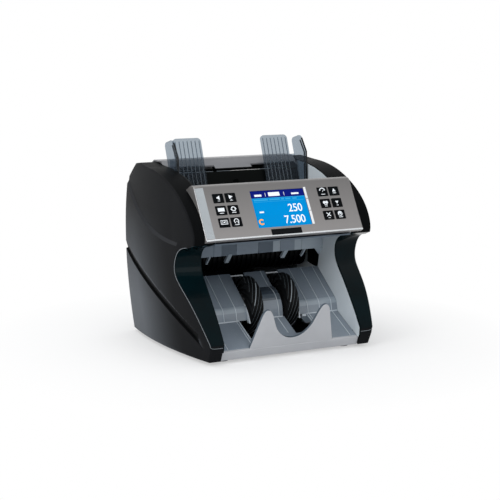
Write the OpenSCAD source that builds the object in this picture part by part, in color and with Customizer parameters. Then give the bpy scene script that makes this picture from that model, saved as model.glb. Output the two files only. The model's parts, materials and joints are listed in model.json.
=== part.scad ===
// Banknote counting machine, made of separate pieces at their real size.
// Frame: the origin is on the floor under the middle of the machine, +X is the operator's
// right, +Y the back and +Z up. All lengths are in millimetres.

/* [Body] */
// Depth of the housing, from the trim bar's face to the rearmost edge
body_d = 262; // [256:1:272]
// Width over the bulge of both side covers
cover_w = 300; // [294:1:312]
// Depth of one side cover, from the bay to its outermost point
cover_d = 40; // [38:1:43]
// Height of the side covers' top edge above the floor
body_h = 258.5; // [254:0.5:266]
// Wall of the moulded covers
wall = 3; // [2:0.5:4]
// Depth of the leaf-shaped recess and height of the step round it
leaf_depth = 2.5; // [1.5:0.5:3]
// Depth of the diagonal groove in each flank
groove_depth = 1.5; // [0.5:0.5:2]
// Height of the rubber feet
foot_h = 4; // [3:0.5:6]
// Radius of a rubber foot
foot_r = 9; // [7:0.5:12]
// Thickness of the base plate
base_t = 3; // [2:0.5:4]
// Thickness of the steel side frames
frame_t = 2; // [1.5:0.5:3]
// Thickness of the light inner walls
liner_t = 2; // [1.5:0.5:3]

/* [Tray] */
// Height of the silver trim bar at the front
bar_h = 12; // [10:0.5:15]
// Slope of the tray floor in degrees
floor_slope = 27.4; // [24:0.2:30]
// Thickness of the tray floor and of the drum covers
tray_t = 3; // [2:0.5:4]
// Half width of the stop plate at its foot
stop_half_w = 66.4; // [60:0.2:72]
// Height of the stop plate's two peaks, along the plate
stop_h = 57.7; // [50:0.1:62]
// Height of the bottom of its valley, along the plate
stop_valley_h = 10.8; // [8:0.1:16]
// Forward lean of the stop plate in degrees
stop_lean = 17; // [12:0.5:20]
// Thickness of the stop plate
stop_t = 5; // [3:0.5:6]
// Width of the slot that each stacker wheel turns in
wheel_slot_w = 21; // [20:0.5:24]

/* [Stacker] */
// Radius of the stacker wheels
wheel_r = 42; // [38:0.5:44]
// Width of a stacker wheel
wheel_w = 18.6; // [16:0.2:19]
// Distance of each wheel's middle from the middle of the machine
wheel_x = 29; // [26:0.5:32]
// Number of flexible vanes on a wheel
vane_count = 16; // [12:1:20]
// Thickness of a vane
vane_t = 1.6; // [1:0.1:2]
// Radius of the wheel's hub
hub_r = 21; // [18:0.5:24]

/* [Drive] */
// Radius of the four shafts
shaft_r = 4; // [3:0.5:5]
// Running clearance of a shaft in its bush, on the radius
run_gap = 0.05; // [0.02:0.01:0.1]
// Radius of the transport drum over its ribs
drum_r = 22; // [18:0.5:23]
// Radius of the feed rollers
feed_r = 13; // [11:0.5:14]
// Radius of the pickup rollers
pickup_r = 15; // [13:0.5:16]
// Radius of the fixed retard rollers
retard_r = 10; // [8:0.5:10.5]
// Gap that a note passes between the feed and the retard rollers
feed_gap = 0.6; // [0.4:0.1:1.2]
// Width of the drive belts
belt_w = 6; // [5:0.5:7]
// Radius of the motor's body
motor_r = 25; // [20:0.5:27]

/* [Control panel] */
// How far the control panel reaches over each side cover
panel_side = 14.5; // [13:0.5:17]
// Height of its sloping face, along the face
face_h = 80.2; // [79:0.2:84]
// Slope of the face in degrees
face_slope = 60; // [58:0.5:62]
// Thickness of the face
face_t = 3; // [2:0.5:4]
// Width of the screen
screen_w = 85.5; // [80:0.5:88]
// Height of the screen
screen_h = 55.5; // [52:0.5:58]
// Width of a key
key_w = 16.2; // [14:0.2:17]
// Height of a key
key_h = 13.4; // [12:0.2:14.4]
// Distance from the control panel's end to the middle of the outer key column
key_end = 32.1; // [30:0.1:34]
// Distance between key columns
key_pitch_x = 18.9; // [18.6:0.1:20]
// Distance between key rows
key_pitch_s = 18.1; // [17.2:0.1:19]
// How far the keys stand out of the face
key_proud = 0.6; // [0.3:0.1:1]
// Travel of a key
key_travel = 0.8; // [0.5:0.1:0.8]
// Width of the bare badge plate
badge_w = 48; // [40:1:52]
// Height of the bare badge plate
badge_h = 8.6; // [7:0.2:9.4]

/* [Hopper] */
// Lean of the hopper's back and of the note guides in degrees
back_lean = 19.5; // [16:0.5:22]
// Width of the ribbed plate of a note guide
guide_plate_w = 45.5; // [40:0.5:47]
// Distance from the ribbed plate's outer edge to the guide's side plate
guide_web_w = 9.5; // [8:0.5:12]
// Height of the note guides' tops above the floor
guide_top = 294; // [285:1:300]
// Thickness of the guides' clear plastic
guide_t = 2; // [1.5:0.5:2.5]
// Inward travel of each note guide
guide_travel = 38; // [30:1:40]
// Radius of the rods that the guides slide on
rod_r = 3; // [2.5:0.5:3.5]
// Teeth of the pinion that links the two guides
pinion_teeth = 16; // [14:1:18]
// Module of the pinion and the racks
gear_module = 1; // [0.9:0.05:1.1]
// Radius of the feed-gap knob
knob_r = 9; // [7:0.5:10]

/* [Hidden] */
$fn = 64;
// Gap between fixed pieces and moving neighbours
gap = 0.3;
// Gap between two fixed pieces that only slip together
slip = 0.02;

// Depths along Y
stop_set = 0.6;
stop_reach = stop_h * sin(stop_lean);
front_y = -(body_d + stop_set - stop_reach) / 2;
rear_y = front_y + body_d;
cover_x = cover_w / 2;
bay_x = cover_x - cover_d;
liner_x = bay_x - liner_t;
frame_out = bay_x + frame_t;

// Side outline of the machine, front bottom corner first, up the front and over the top
rear_z = 110;
lip = [front_y + 21, 162];
crest_end = [front_y + 172, body_h - 3.5];
front_edge = curve([front_y - 6, 30], [front_y + 10, 57], [front_y + 37, 90], [front_y + 55, 110], 4);
waist_edge = curve([front_y + 55, 110], [front_y + 70, 128], [front_y + 68, 155],
    [front_y + 36, 157], 8);
crest_edge = curve(lip, [front_y + 6, 186], [front_y + 66, body_h - 8], crest_end, 12);
door_top_z = body_h - 24;
outline = concat([[front_y + 2, foot_h], [front_y - 5, foot_h + 16], [front_y - 6, 30]],
    front_edge, waist_edge, [lip], crest_edge,
    [[rear_y - 54, body_h], [rear_y - 33, body_h - 2.5], [rear_y - 2.5, door_top_z],
     [rear_y, rear_z], [rear_y - 5, foot_h]]);

// Bulge of the flanks: a barrel about an upright axis, which narrows below and above its waist
bulge_r = 735;
bulge_x = cover_x - bulge_r;
bulge_y = front_y + 126;
bulge_z = 162;
bulge_low = 0.00044;
bulge_high = 0.0008;
bulge_steps = 14;

// Curves on the flanks
leaf_start = [rear_y + 1, body_h - 33];
leaf_edge = concat([leaf_start],
    curve(leaf_start, [front_y + 180, 179], [front_y + 140, 154], [front_y + 30, 157], 14));
groove_start = [rear_y + 5, 141];
groove_top = concat([groove_start],
    curve(groove_start, [front_y + 180, 107], [front_y + 98, 80], [front_y + 20, 41], 8));
groove_w = 13;

// Tray: its floor, the riser and the slope of the drum covers
floor_y1 = front_y + 54;
slope_low = [front_y + 58, floor_z(floor_y1) + 16];
slope_high = [front_y + 112, slope_low[1] + 41];
riser_foot = [floor_y1, floor_z(floor_y1)];
wheel_c = [front_y + 87, 59];
slot_in = wheel_x - wheel_slot_w / 2;
slot_out = wheel_x + wheel_slot_w / 2;
floor_slot_out = 54.5;
floor_slot_y = front_y + 20;

// The bar's depth, and how far the base plate ends before the rear edge
bar_d = 14;
base_inset = 9;
// How far the base plate reaches under the side covers, and the places of the feet
base_side = 8;
foot_x = bay_x - 13;
foot_y = [front_y + 24, rear_y - 30];
foot_bore = 2;

// Shaft centres as [y, z]
drum_c = [front_y + 150, 122];
feed_c = [front_y + 94, 165.5];
pickup_c = [front_y + 134, 180];
retard_c = feed_c + (feed_r + retard_r + feed_gap) * [-0.994, 0.106];
motor_c = [rear_y - 52, 64];
shafts = [drum_c, feed_c, pickup_c, wheel_c];
bush_r = shaft_r + 2;
bush_flange = 2;
collar = 0.3;

// Pulleys: pitch radii, and the distances of the two belt planes from the frames
motor_pulley_r = 8;
drum_motor_r = 14;
drum_feed_r = 12;
feed_pulley_r = 12;
link_pulley_r = 10;
drum_stack_r = 10;
stack_pulley_r = 24;
belt_t = 1.5;
flange_t = 1;
flange_h = 2;
pulley_w = belt_w + 2 * gap + 2 * flange_t;
plane_a = frame_out + bush_flange + collar;
plane_b = plane_a + pulley_w + collar;
shaft_end = plane_b + pulley_w;

// Control panel: the foot of its face, the way up it and the way into it
face_foot = [front_y + 12.5, 168.8];
face_up = [cos(face_slope), sin(face_slope)];
face_in = [sin(face_slope), -cos(face_slope)];
panel_x = bay_x + panel_side;
key_x = [panel_x - key_end - key_pitch_x, panel_x - key_end];
key_s = 60.8;
screen_s = 13 + screen_h / 2;
screen_x = 0.8;
switch_gap = 0.1;
key_flange = 0.8;
key_back = face_t + gap + 1;
key_stem = key_back + 2.8;
board_d = key_stem + key_travel + switch_gap;
switch_t = 4;
board_t = 1.6;

// Hopper: the back's top edge, its foot and the feed plate
lean_dir = [-sin(back_lean), -cos(back_lean)];
back_top = [front_y + 173, body_h - 15];
back_foot = back_top + 46 * lean_dir;
feed_edge = [pickup_c[0] - 22, back_foot[1] - 12];
back_t = 2.5;
cover_top = body_h + 2.5;
guide_out = liner_x - 1.5;
plate_out = guide_out - guide_t - guide_web_w;
plate_in = plate_out - guide_plate_w;
guide_back = back_top + [-6.5, 0];
neck_z = back_top[1] + 1;
neck_t = 3;
rod_y = front_y + 192;
rod_z = [neck_z - 26.5, neck_z - 6.5];
rail_w = 35;
rail_x = plate_out - 3 - rail_w;
pitch_r = pinion_teeth * gear_module / 2;
rack_z = neck_z - 16.5;
rack_y = rod_y + rod_r + 5;
rack_t = 6;

// Rear
screw_r = 1.6;
head_h = 1.2;
split_z = 96;
screw_z = [16, split_z - 12];
hinge_c = [rear_y - 5.5, split_z + 5.5];
hinge_r = 2;
hinge_in = bay_x - 12;
screw_x = bay_x - 10;
inlet_x = 30 - bay_x;
inlet_z = 34;
rocker_x = inlet_x + 30;
crown = [rear_y - 46, cover_top];
crown_foot = [rear_y - 5.5, body_h - 20];
crown_tilt = atan2(crown[1] - crown_foot[1], crown_foot[0] - crown[0]);
knob_c = 0.38 * crown + 0.62 * crown_foot;
knob_h = 7;
stem_r = 3;

// Cubic curve through a and d with handles b and c, without its first point
function curve(a, b, c, d, n) = [for (i = [1:n]) let (t = i / n, s = 1 - t)
    a * s * s * s + b * 3 * t * s * s + c * 3 * t * t * s + d * t * t * t];
// Unit vector, and the way to the right of the line from a to b
function unit(v) = v / norm(v);
function right_of(a, b) = let (u = unit(b - a)) [u[1], -u[0]];
// A clockwise outline moved inwards by d
function inset(p, d) = [for (i = [0:len(p) - 1]) let (n = len(p),
    r1 = right_of(p[(i + n - 1) % n], p[i]), r2 = right_of(p[i], p[(i + 1) % n]))
    p[i] + (r1 + r2) * d / (1 + r1 * r2)];
// Height of the tray floor's top surface at y
function floor_z(y) = foot_h + bar_h + 0.5 + (y - front_y) * tan(floor_slope);
// Point on the control panel: s up the face from its foot, d into the machine
function on_face(s, d) = face_foot + s * face_up + d * face_in;
// Half width of the stop plate's outline, from its foot over the peak to the valley
function stop_side() = let (k = stop_half_w, h = stop_h, v = stop_valley_h) concat(
    [[k, 0], [0.82 * k, 0.775 * h]],
    curve([0.82 * k, 0.775 * h], [0.79 * k, 0.93 * h], [0.745 * k, h], [0.685 * k, h], 6),
    curve([0.685 * k, h], [0.56 * k, h], [0.51 * k, 0.65 * h], [0.41 * k, 0.47 * h], 6),
    curve([0.41 * k, 0.47 * h], [0.3 * k, 0.29 * h], [0.17 * k, v], [0, v], 6));
// The same points on the other side, in the opposite order
function mirrored(p) = [for (i = [len(p) - 2:-1:0]) [-p[i][0], p[i][1]]];
// Depth of the rear outline at height z, below its rearmost point
function rear_at(z) = rear_y - 5 * (rear_z - z) / (rear_z - foot_h);

// Slab between x0 and x1 whose side view is the outline p of [y, z] points
module slab(x0, x1, p) {
    translate([x0, 0, 0]) rotate([90, 0, 90]) linear_extrude(x1 - x0) polygon(p);
}
// Round bar along X
module bar_x(x0, x1, c, r) {
    translate([x0, c[0], c[1]]) rotate([0, 90, 0]) cylinder(r = r, h = x1 - x0);
}
// Box between two opposite corners
module box(a, b) {
    translate(a) cube(b - a);
}
// Its children, and their mirror image when s is -1
module side(s) {
    if (s > 0) children();
    else mirror([1, 0, 0]) children();
}
// Box that lies on the control panel: x0 to x1, s0 to s1 up the face, d0 to d1 into it
module on_panel(x0, x1, s0, s1, d0, d1) {
    slab(x0, x1, [on_face(s0, d0), on_face(s1, d0), on_face(s1, d1), on_face(s0, d1)]);
}
// Solid inside the right flank's bulge, moved inwards by d
module barrel(d) {
    step = (body_h + 20) / bulge_steps;
    translate([bulge_x, bulge_y, 0]) rotate_extrude($fn = 360)
        polygon(concat([[0, -10], for (i = [0:bulge_steps]) let (z = -10 + i * step,
            k = z < bulge_z ? bulge_low : bulge_high) [bulge_r - d - k * pow(z - bulge_z, 2), z]],
            [[0, -10 + bulge_steps * step]]));
}

module side_cover(s) {
    hollow = [for (p = inset(outline, wall)) p[1] < foot_h + wall + 1 ? [p[0], -1] : p];
    groove = concat(groove_top, [for (i = [len(groove_top) - 1:-1:0]) groove_top[i] - [0, groove_w]]);
    color("#2b2b2d") side(s) difference() {
        intersection() {
            slab(bay_x, cover_x + 1, outline);
            barrel(0);
        }
        intersection() {
            slab(bay_x - 1, cover_x + 1, hollow);
            barrel(wall + leaf_depth);
        }
        difference() {
            slab(bay_x + 8, cover_x + 1, concat(leaf_edge, [[front_y - 20, 157],
                [front_y - 20, body_h + 9], [leaf_start[0], body_h + 9]]));
            barrel(leaf_depth);
        }
        difference() {
            slab(bay_x + 8, cover_x + 1, groove);
            barrel(groove_depth);
        }
    }
}
module left_side_cover() side_cover(-1);
module right_side_cover() side_cover(1);

module side_frame(s) {
    color("#b4b8bb") side(s) difference() {
        union() {
            slab(bay_x, frame_out, [for (p = inset(outline, wall + 2 * gap))
                [p[0], max(p[1], foot_h + base_t)]]);
            bar_x(hinge_in, bay_x + frame_t / 2, hinge_c, hinge_r);
        }
        for (c = shafts) bar_x(bay_x - 1, frame_out + 1, c, bush_r + slip);
        bar_x(bay_x - 1, frame_out + 1, motor_c, 12);
    }
}
module left_side_frame() side_frame(-1);
module right_side_frame() side_frame(1);

module inner_wall(s) {
    edge = inset(outline, 0.6);
    color("#9aa6ad") side(s) difference() {
        intersection() {
            slab(liner_x, bay_x, edge);
            box([0, front_y - 10, foot_h + base_t], [bay_x, back_top[0] - gap, body_h]);
        }
        slab(0, bay_x + 1, [[front_y - 10, 0], [front_y - 10, floor_z(front_y)], [front_y, floor_z(front_y)],
            [front_y + bar_d, floor_z(front_y + bar_d)], [front_y + bar_d, 0]]);
        for (c = shafts) bar_x(liner_x - 1, bay_x + 1, c, bush_r + 1);
    }
}
module left_inner_wall() inner_wall(-1);
module right_inner_wall() inner_wall(1);

module base_plate() {
    half = bay_x + base_side;
    color("#3a3c3e") difference() {
        box([-half, front_y + bar_d, foot_h], [half, rear_y - base_inset, foot_h + base_t]);
        for (x = [-foot_x, foot_x], y = foot_y)
            translate([x, y, foot_h - 1]) cylinder(r = foot_bore, h = base_t + 2);
    }
}
module rubber_feet() {
    color("#1a1a1a") for (x = [-foot_x, foot_x], y = foot_y)
        translate([x, y, 0]) cylinder(r = foot_r, h = foot_h);
}

module front_trim_bar() {
    back = front_y + bar_d;
    color("#aaacb0") slab(-bay_x + slip, bay_x - slip, [[front_y + 4, foot_h], [front_y, foot_h + bar_h],
        [front_y + 3, floor_z(front_y + 3)], [front_y + 3, floor_z(front_y + 3) - tray_t * 1.2],
        [back, floor_z(back) - tray_t * 1.2], [back, foot_h]]);
}
module tray_floor() {
    y0 = front_y + 3;
    y1 = floor_y1 + 12;
    color("#6d767d") difference() {
        slab(-liner_x, liner_x, [[y0, floor_z(y0) - tray_t], [y0, floor_z(y0)],
            [y1, floor_z(y1)], [y1, floor_z(y1) - tray_t]]);
        for (s = [-1, 1]) side(s)
            box([slot_in, floor_slot_y, 0], [floor_slot_out, y1 + 1, body_h]);
        for (s = [-1, 1]) side(s)
            slab(-1, liner_x + 1, [riser_foot, riser_foot + [0, 20], [y1 + 1, body_h],
                [y1 + 1, riser_foot[1]]]);
    }
}
module note_stop_plate() {
    half = stop_side();
    shape = concat(half, mirrored(half));
    color("#b0b2b6") difference() {
        translate([0, front_y + stop_set, foot_h + bar_h]) rotate([90 + stop_lean, 0, 0])
            translate([0, 0, -stop_t]) linear_extrude(stop_t)
            polygon(concat([[-stop_half_w, -8], [stop_half_w, -8]], shape));
        slab(-bay_x, bay_x, [[front_y - 30, 0], [front_y - 30, floor_z(front_y)], [front_y, floor_z(front_y)],
            [front_y + 60, floor_z(front_y + 60)], [front_y + 60, 0]]);
    }
}
module drum_cover(x0, x1) {
    top = [riser_foot, slope_low, slope_high];
    in = tray_t * [0.6, -0.8];
    color("#737c83") slab(x0, x1, concat(top, [slope_high + [0, -tray_t * 1.3],
        slope_low + in, riser_foot + [tray_t, 0]]));
}
module left_drum_cover() drum_cover(-liner_x, -slot_out);
module right_drum_cover() drum_cover(slot_out, liner_x);
// The middle cover has a round nose between the two wheels
module centre_drum_cover() {
    nose = curve(slope_low + [16, 12.2], slope_low + [1, 8], slope_low + [-8, -2], riser_foot + [-4, 2], 8);
    nose_in = curve(riser_foot + [0, 2], slope_low + [-3, -4], slope_low + [4, 4], slope_low + [18, 9.6], 6);
    foot = [floor_y1 - 4, floor_z(floor_y1 - 4)];
    color("#737c83") slab(-slot_in, slot_in, concat([foot], [for (i = [len(nose) - 1:-1:0]) nose[i]],
        [slope_low + [16, 12.2], slope_high, slope_high + [0, -tray_t * 1.3]],
        [for (i = [len(nose_in) - 1:-1:0]) nose_in[i]], [[floor_y1, floor_z(floor_y1)]]));
}
module upper_note_guide() {
    under = concat([[front_y + 19, 160]], curve([front_y + 19, 160], [front_y + 50, 160],
        [front_y + 70, 155], [front_y + 122, 127], 8));
    tip = [front_y + 115, 120.5];
    color("#6f7a84", 0.6) {
        slab(-liner_x, liner_x, concat(under, [for (i = [len(under) - 1:-1:0]) under[i] + [1.2, 2.5]]));
        for (x = [-78, -46, 46, 78])
            slab(x - 2, x + 2, [tip, [front_y + 106, 134], [front_y + 120, 131], [front_y + 123, 128]]);
    }
}

module control_panel() {
    half = panel_x;
    top = face_h + 5.3;
    body = [on_face(0, 0), on_face(face_h, 0), on_face(top, 7.6), on_face(top + 1, 26),
        on_face(20, 26), on_face(0, 9)];
    hollow = [on_face(2, face_t), on_face(face_h - 1, face_t), on_face(top - 2.5, 9),
        on_face(top - 2.5, 40), on_face(2, 40)];
    shell = inset(outline, -gap);
    color("#9b9794") difference() {
        slab(-half, half, body);
        slab(-half - 1, half + 1, shell);
        slab(-half + wall, half - wall, hollow);
        on_panel(screen_x - screen_w / 2, screen_x + screen_w / 2, screen_s - screen_h / 2,
            screen_s + screen_h / 2, -1, face_t + 1);
        for (s = [-1, 1], x = key_x, r = [0:2]) on_panel(s * x - key_w / 2 - gap, s * x + key_w / 2 + gap,
            key_s - r * key_pitch_s - key_h / 2 - gap, key_s - r * key_pitch_s + key_h / 2 + gap,
            -1, face_t + 1);
    }
}
module display_module() {
    color("#0a8fe0") union() {
        on_panel(screen_x - screen_w / 2 + gap / 2, screen_x + screen_w / 2 - gap / 2,
            screen_s - screen_h / 2 + gap / 2, screen_s + screen_h / 2 - gap / 2, 0.8, face_t);
        on_panel(screen_x - screen_w / 2 - 4, screen_x + screen_w / 2 + 4,
            screen_s - screen_h / 2 - 4, screen_s + screen_h / 2 + 4, face_t, board_d - 0.2);
    }
}
module badge_plate() {
    color("#141416") on_panel(-badge_w / 2, badge_w / 2, 1.4, 1.4 + badge_h, -0.5, 0);
}
module key(s, column, row) {
    x = s * key_x[column];
    m = key_s - row * key_pitch_s;
    color("#161618") union() {
        on_panel(x - key_w / 2, x + key_w / 2, m - key_h / 2, m + key_h / 2, -key_proud, key_back);
        on_panel(x - key_w / 2 - key_flange, x + key_w / 2 + key_flange, m - key_h / 2 - key_flange,
            m + key_h / 2 + key_flange, face_t + gap, key_back);
        on_panel(x - 2, x + 2, m - 2, m + 2, face_t + gap, key_stem);
    }
}
module key_left_1() key(-1, 1, 0);
module key_left_2() key(-1, 0, 0);
module key_left_3() key(-1, 1, 1);
module key_left_4() key(-1, 0, 1);
module key_left_5() key(-1, 1, 2);
module key_left_6() key(-1, 0, 2);
module key_right_1() key(1, 0, 0);
module key_right_2() key(1, 1, 0);
module key_right_3() key(1, 0, 1);
module key_right_4() key(1, 1, 1);
module key_right_5() key(1, 0, 2);
module key_right_6() key(1, 1, 2);
module key_circuit_board() {
    half = liner_x;
    color("#1f5a3a") union() {
        on_panel(-half, half, 8, face_h - 8, board_d + switch_t, board_d + switch_t + board_t);
        for (s = [-1, 1], x = key_x, r = [0:2]) let (m = key_s - r * key_pitch_s)
            on_panel(s * x - 3, s * x + 3, m - 3, m + 3, board_d, board_d + switch_t + 0.5);
        on_panel(screen_x - 20, screen_x + 20, screen_s - 8, screen_s + 8,
            board_d - 0.2, board_d + switch_t + 0.5);
    }
}

module hopper_plate() {
    across = [cos(back_lean), -sin(back_lean)] * back_t;
    up_front = [feed_c[0] - 15, feed_c[1] + 22];
    color("#17181a") difference() {
        union() {
            slab(-liner_x, liner_x, [feed_edge, back_foot, back_top, back_top + across,
                back_foot + across + [0, -1], feed_edge + [0, -back_t]]);
            slab(-liner_x, liner_x, [up_front, up_front + [-6, 41], up_front + [-3.5, 41],
                up_front + [back_t, 0]]);
            for (s = [-1, 1]) side(s) slab(liner_x - 3, liner_x, [up_front, up_front + [0, 6],
                feed_edge + [2, 0], feed_edge + [2, -back_t]]);
            translate([0, back_top[0] - 8, rack_z]) rotate([-90, 0, 0]) {
                cylinder(r = 2, h = rack_y + rack_t + 1 - back_top[0] + 8);
                cylinder(r = 4, h = rack_y - gap - back_top[0] + 8);
            }
        }
        for (x = [-35, 35]) box([x - 11, pickup_c[0] - pickup_r - 1, 0],
            [x + 11, pickup_c[0] + pickup_r + 1, back_foot[1] + 1]);
    }
}
module hopper_rear_cover() {
    face_low = back_top + [0, 4.5];
    face_high = [(back_top[0] + crown[0]) / 2 - 2.5, cover_top];
    low_in = face_low + [2.5, -0.4];
    high_in = face_high + [1.5, -2.5];
    rear_low = [rear_y - 3.2, door_top_z];
    color("#8b8b8f") difference() {
        slab(-bay_x + slip, bay_x - slip, [face_low, face_high, crown, crown_foot, rear_low,
            rear_low + [-2.6, 0], crown_foot + [-2, -1.5], crown + [-1, -2.5], high_in, low_in]);
        for (s = [-1, 1]) side(s)
            box([30, face_low[0] - 5, face_low[1] - 5], [liner_x - 2, face_low[0] + 6.5, face_low[1] + 4.5]);
        translate([0, knob_c[0], knob_c[1]]) rotate([-crown_tilt, 0, 0])
            cylinder(r = stem_r + run_gap, h = 20, center = true);
    }
}
module guide_rods() {
    color("#c4c7ca") for (z = rod_z) bar_x(-bay_x, bay_x, [rod_y, z], rod_r);
}
// Tooth outline of the racks: tip and root half widths about the pitch line
module rack_teeth(dir, count) {
    pitch = 3.14159 * gear_module;
    for (i = [-count:1]) translate([(i + 0.5) * pitch, 0, 0])
        polygon([[-0.36 * pitch, -dir * 1.2], [-0.09 * pitch, dir * 0.7], [0.09 * pitch, dir * 0.7],
            [0.36 * pitch, -dir * 1.2]]);
}
module note_guide(s) {
    n = lean_dir;
    across = [cos(back_lean), -sin(back_lean)] * guide_t;
    top = guide_back - n * ((guide_top - 1 - guide_back[1]) / cos(back_lean));
    low = guide_back + n * 40;
    web_top = guide_back - n * 22;
    front_top = [top[0] - 24, guide_top];
    dir = s < 0 ? -1 : 1;
    bar_z = rack_z - dir * (pitch_r + 1.2);
    color("#9aa3ac", 0.5) difference() {
        union() {
            side(s) slab(plate_in, plate_out, [low, top, top + across, low + across]);
            side(s) slab(plate_out, guide_out - guide_t, [low, web_top, web_top + across, low + across]);
            side(s) slab(guide_out - guide_t, guide_out, [low, low + [-9, -2], [low[0] - 14, low[1] + 9],
                front_top + [-17, -22], front_top, [top[0] + 2, guide_top - 7], low + across]);
            side(s) box([rail_x, guide_back[0] + 0.5, neck_z], [rail_x + rail_w, rod_y, neck_z + neck_t]);
            side(s) box([rail_x, rod_y - 7, rod_z[0] - 6], [rail_x + rail_w, rod_y + 7, neck_z + neck_t]);
            side(s) box([rail_x, rod_y + 6, s < 0 ? bar_z - 0.5 : bar_z - 4],
                [rail_x + rail_w, rack_y + rack_t, s < 0 ? bar_z + 4 : bar_z + 0.5]);
            side(s) box([-8, rack_y, s < 0 ? bar_z : bar_z - 4],
                [rail_x + 1, rack_y + rack_t, s < 0 ? bar_z + 4 : bar_z]);
            side(s) translate([0, rack_y + rack_t, rack_z - dir * pitch_r]) rotate([90, 0, 0])
                linear_extrude(rack_t) mirror([1, 0]) rack_teeth(dir, 14);
        }
        for (z = rod_z) bar_x(-bay_x, bay_x, [rod_y, z], rod_r + run_gap);
    }
}
module left_note_guide() note_guide(-1);
module right_note_guide() note_guide(1);
module guide_pinion() {
    color("#e8e8e4") translate([0, rack_y + rack_t - gap, rack_z]) rotate([90, 0, 0])
        linear_extrude(rack_t - 2 * gap) difference() {
            union() {
                circle(r = pitch_r - 1.1);
                for (i = [0:pinion_teeth - 1]) rotate(90 + i * 360 / pinion_teeth)
                    polygon([[pitch_r - 1.6, -0.95], [pitch_r + 0.7, -0.3], [pitch_r + 0.7, 0.3],
                        [pitch_r - 1.6, 0.95]]);
            }
            circle(r = 2 + run_gap);
        }
}

module shaft_bushes() {
    color("#b58a4a") for (s = [-1, 1], c = shafts) side(s) difference() {
        union() {
            bar_x(bay_x - 0.5, frame_out, c, bush_r);
            bar_x(frame_out, frame_out + bush_flange, c, bush_r + 2);
        }
        bar_x(bay_x - 2, frame_out + bush_flange + 1, c, shaft_r + run_gap);
    }
}
module pulley(x, c, r) {
    bar_x(x, x + pulley_w, c, r);
    bar_x(x, x + flange_t, c, r + flange_h);
    bar_x(x + pulley_w - flange_t, x + pulley_w, c, r + flange_h);
}
module roller(x, w, c, r) {
    difference() {
        bar_x(x - w / 2, x + w / 2, c, r);
        bar_x(x - w / 2 - 1, x + w / 2 + 1, c, shaft_r + slip);
    }
}
module pickup_shaft() {
    color("#c9ccce") union() {
        bar_x(-shaft_end, frame_out + 4, pickup_c, shaft_r);
        side(-1) pulley(plane_a, pickup_c, link_pulley_r);
    }
}
module pickup_rollers() {
    color("#2a2a2a") for (x = [-35, 35]) roller(x, 18, pickup_c, pickup_r);
}
module feed_shaft() {
    color("#c9ccce") union() {
        bar_x(-shaft_end, shaft_end, feed_c, shaft_r);
        side(-1) pulley(plane_a, feed_c, link_pulley_r);
        pulley(plane_b, feed_c, feed_pulley_r);
    }
}
module feed_rollers() {
    color("#2a2a2a") for (x = [-66, -22, 22, 66]) roller(x, 16, feed_c, feed_r);
}
module retard_rollers() {
    color("#4a4a4c") union() {
        bar_x(-liner_x, liner_x, retard_c, 3);
        for (x = [-66, -22, 22, 66]) bar_x(x - 7, x + 7, retard_c, retard_r);
    }
}
module transport_drum() {
    pitch = 8;
    count = floor((liner_x - 9) / pitch);
    color("#1c1d1f") union() {
        bar_x(-shaft_end, shaft_end, drum_c, shaft_r);
        bar_x(-count * pitch - 3, count * pitch + 3, drum_c, drum_r - 3);
        for (i = [-count:count]) bar_x(i * pitch - 1.5, i * pitch + 1.5, drum_c, drum_r);
        pulley(plane_a, drum_c, drum_motor_r);
        pulley(plane_b, drum_c, drum_feed_r);
        side(-1) pulley(plane_b, drum_c, drum_stack_r);
    }
}
module stacker_shaft() {
    color("#c9ccce") union() {
        bar_x(-shaft_end, frame_out + 4, wheel_c, shaft_r);
        side(-1) pulley(plane_b, wheel_c, stack_pulley_r);
    }
}
// One curved vane, from the hub to the rim
module vane() {
    n = 8;
    sweep = 62;
    root = hub_r - 3;
    polygon([for (j = [0:2 * n + 1]) let (i = j <= n ? j : 2 * n + 1 - j, t = i / n,
        r = root + (wheel_r - root) * t, a = sweep * t,
        lag = j > n ? 0 : vane_t * (1 - 0.3 * t) * 90 / r) r * [cos(a - lag), sin(a - lag)]]);
}
module stacker_wheel(s) {
    color("#202124") side(s) translate([wheel_x - wheel_w / 2, wheel_c[0], wheel_c[1]])
        rotate([90, 0, 90]) linear_extrude(wheel_w) difference() {
            union() {
                circle(r = hub_r);
                for (i = [0:vane_count - 1]) rotate(i * 360 / vane_count) vane();
            }
            circle(r = shaft_r + slip);
        }
}
module left_stacker_wheel() stacker_wheel(-1);
module right_stacker_wheel() stacker_wheel(1);

module drive_motor() {
    color("#55585c") difference() {
        union() {
            bar_x(bay_x - 62, bay_x, motor_c, motor_r);
            bar_x(bay_x - 70, bay_x - 62, motor_c, motor_r * 0.45);
            bar_x(bay_x, frame_out, motor_c, 11.8);
        }
        bar_x(bay_x - 12, frame_out + 1, motor_c, 3 + run_gap);
    }
}
module motor_pulley() {
    color("#c9ccce") union() {
        bar_x(bay_x - 11, plane_a + pulley_w, motor_c, 3);
        pulley(plane_a, motor_c, motor_pulley_r);
    }
}
module belt(x, c1, r1, c2, r2) {
    translate([x + flange_t + gap, 0, 0]) rotate([90, 0, 90]) linear_extrude(belt_w) difference() {
        hull() {
            translate(c1) circle(r = r1 + gap + belt_t);
            translate(c2) circle(r = r2 + gap + belt_t);
        }
        hull() {
            translate(c1) circle(r = r1 + gap);
            translate(c2) circle(r = r2 + gap);
        }
    }
}
module drive_belts() {
    color("#1b1b1c") {
        belt(plane_a, motor_c, motor_pulley_r, drum_c, drum_motor_r);
        belt(plane_b, drum_c, drum_feed_r, feed_c, feed_pulley_r);
        side(-1) belt(plane_a, feed_c, link_pulley_r, pickup_c, link_pulley_r);
        side(-1) belt(plane_b, drum_c, drum_stack_r, wheel_c, stack_pulley_r);
    }
}
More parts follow.
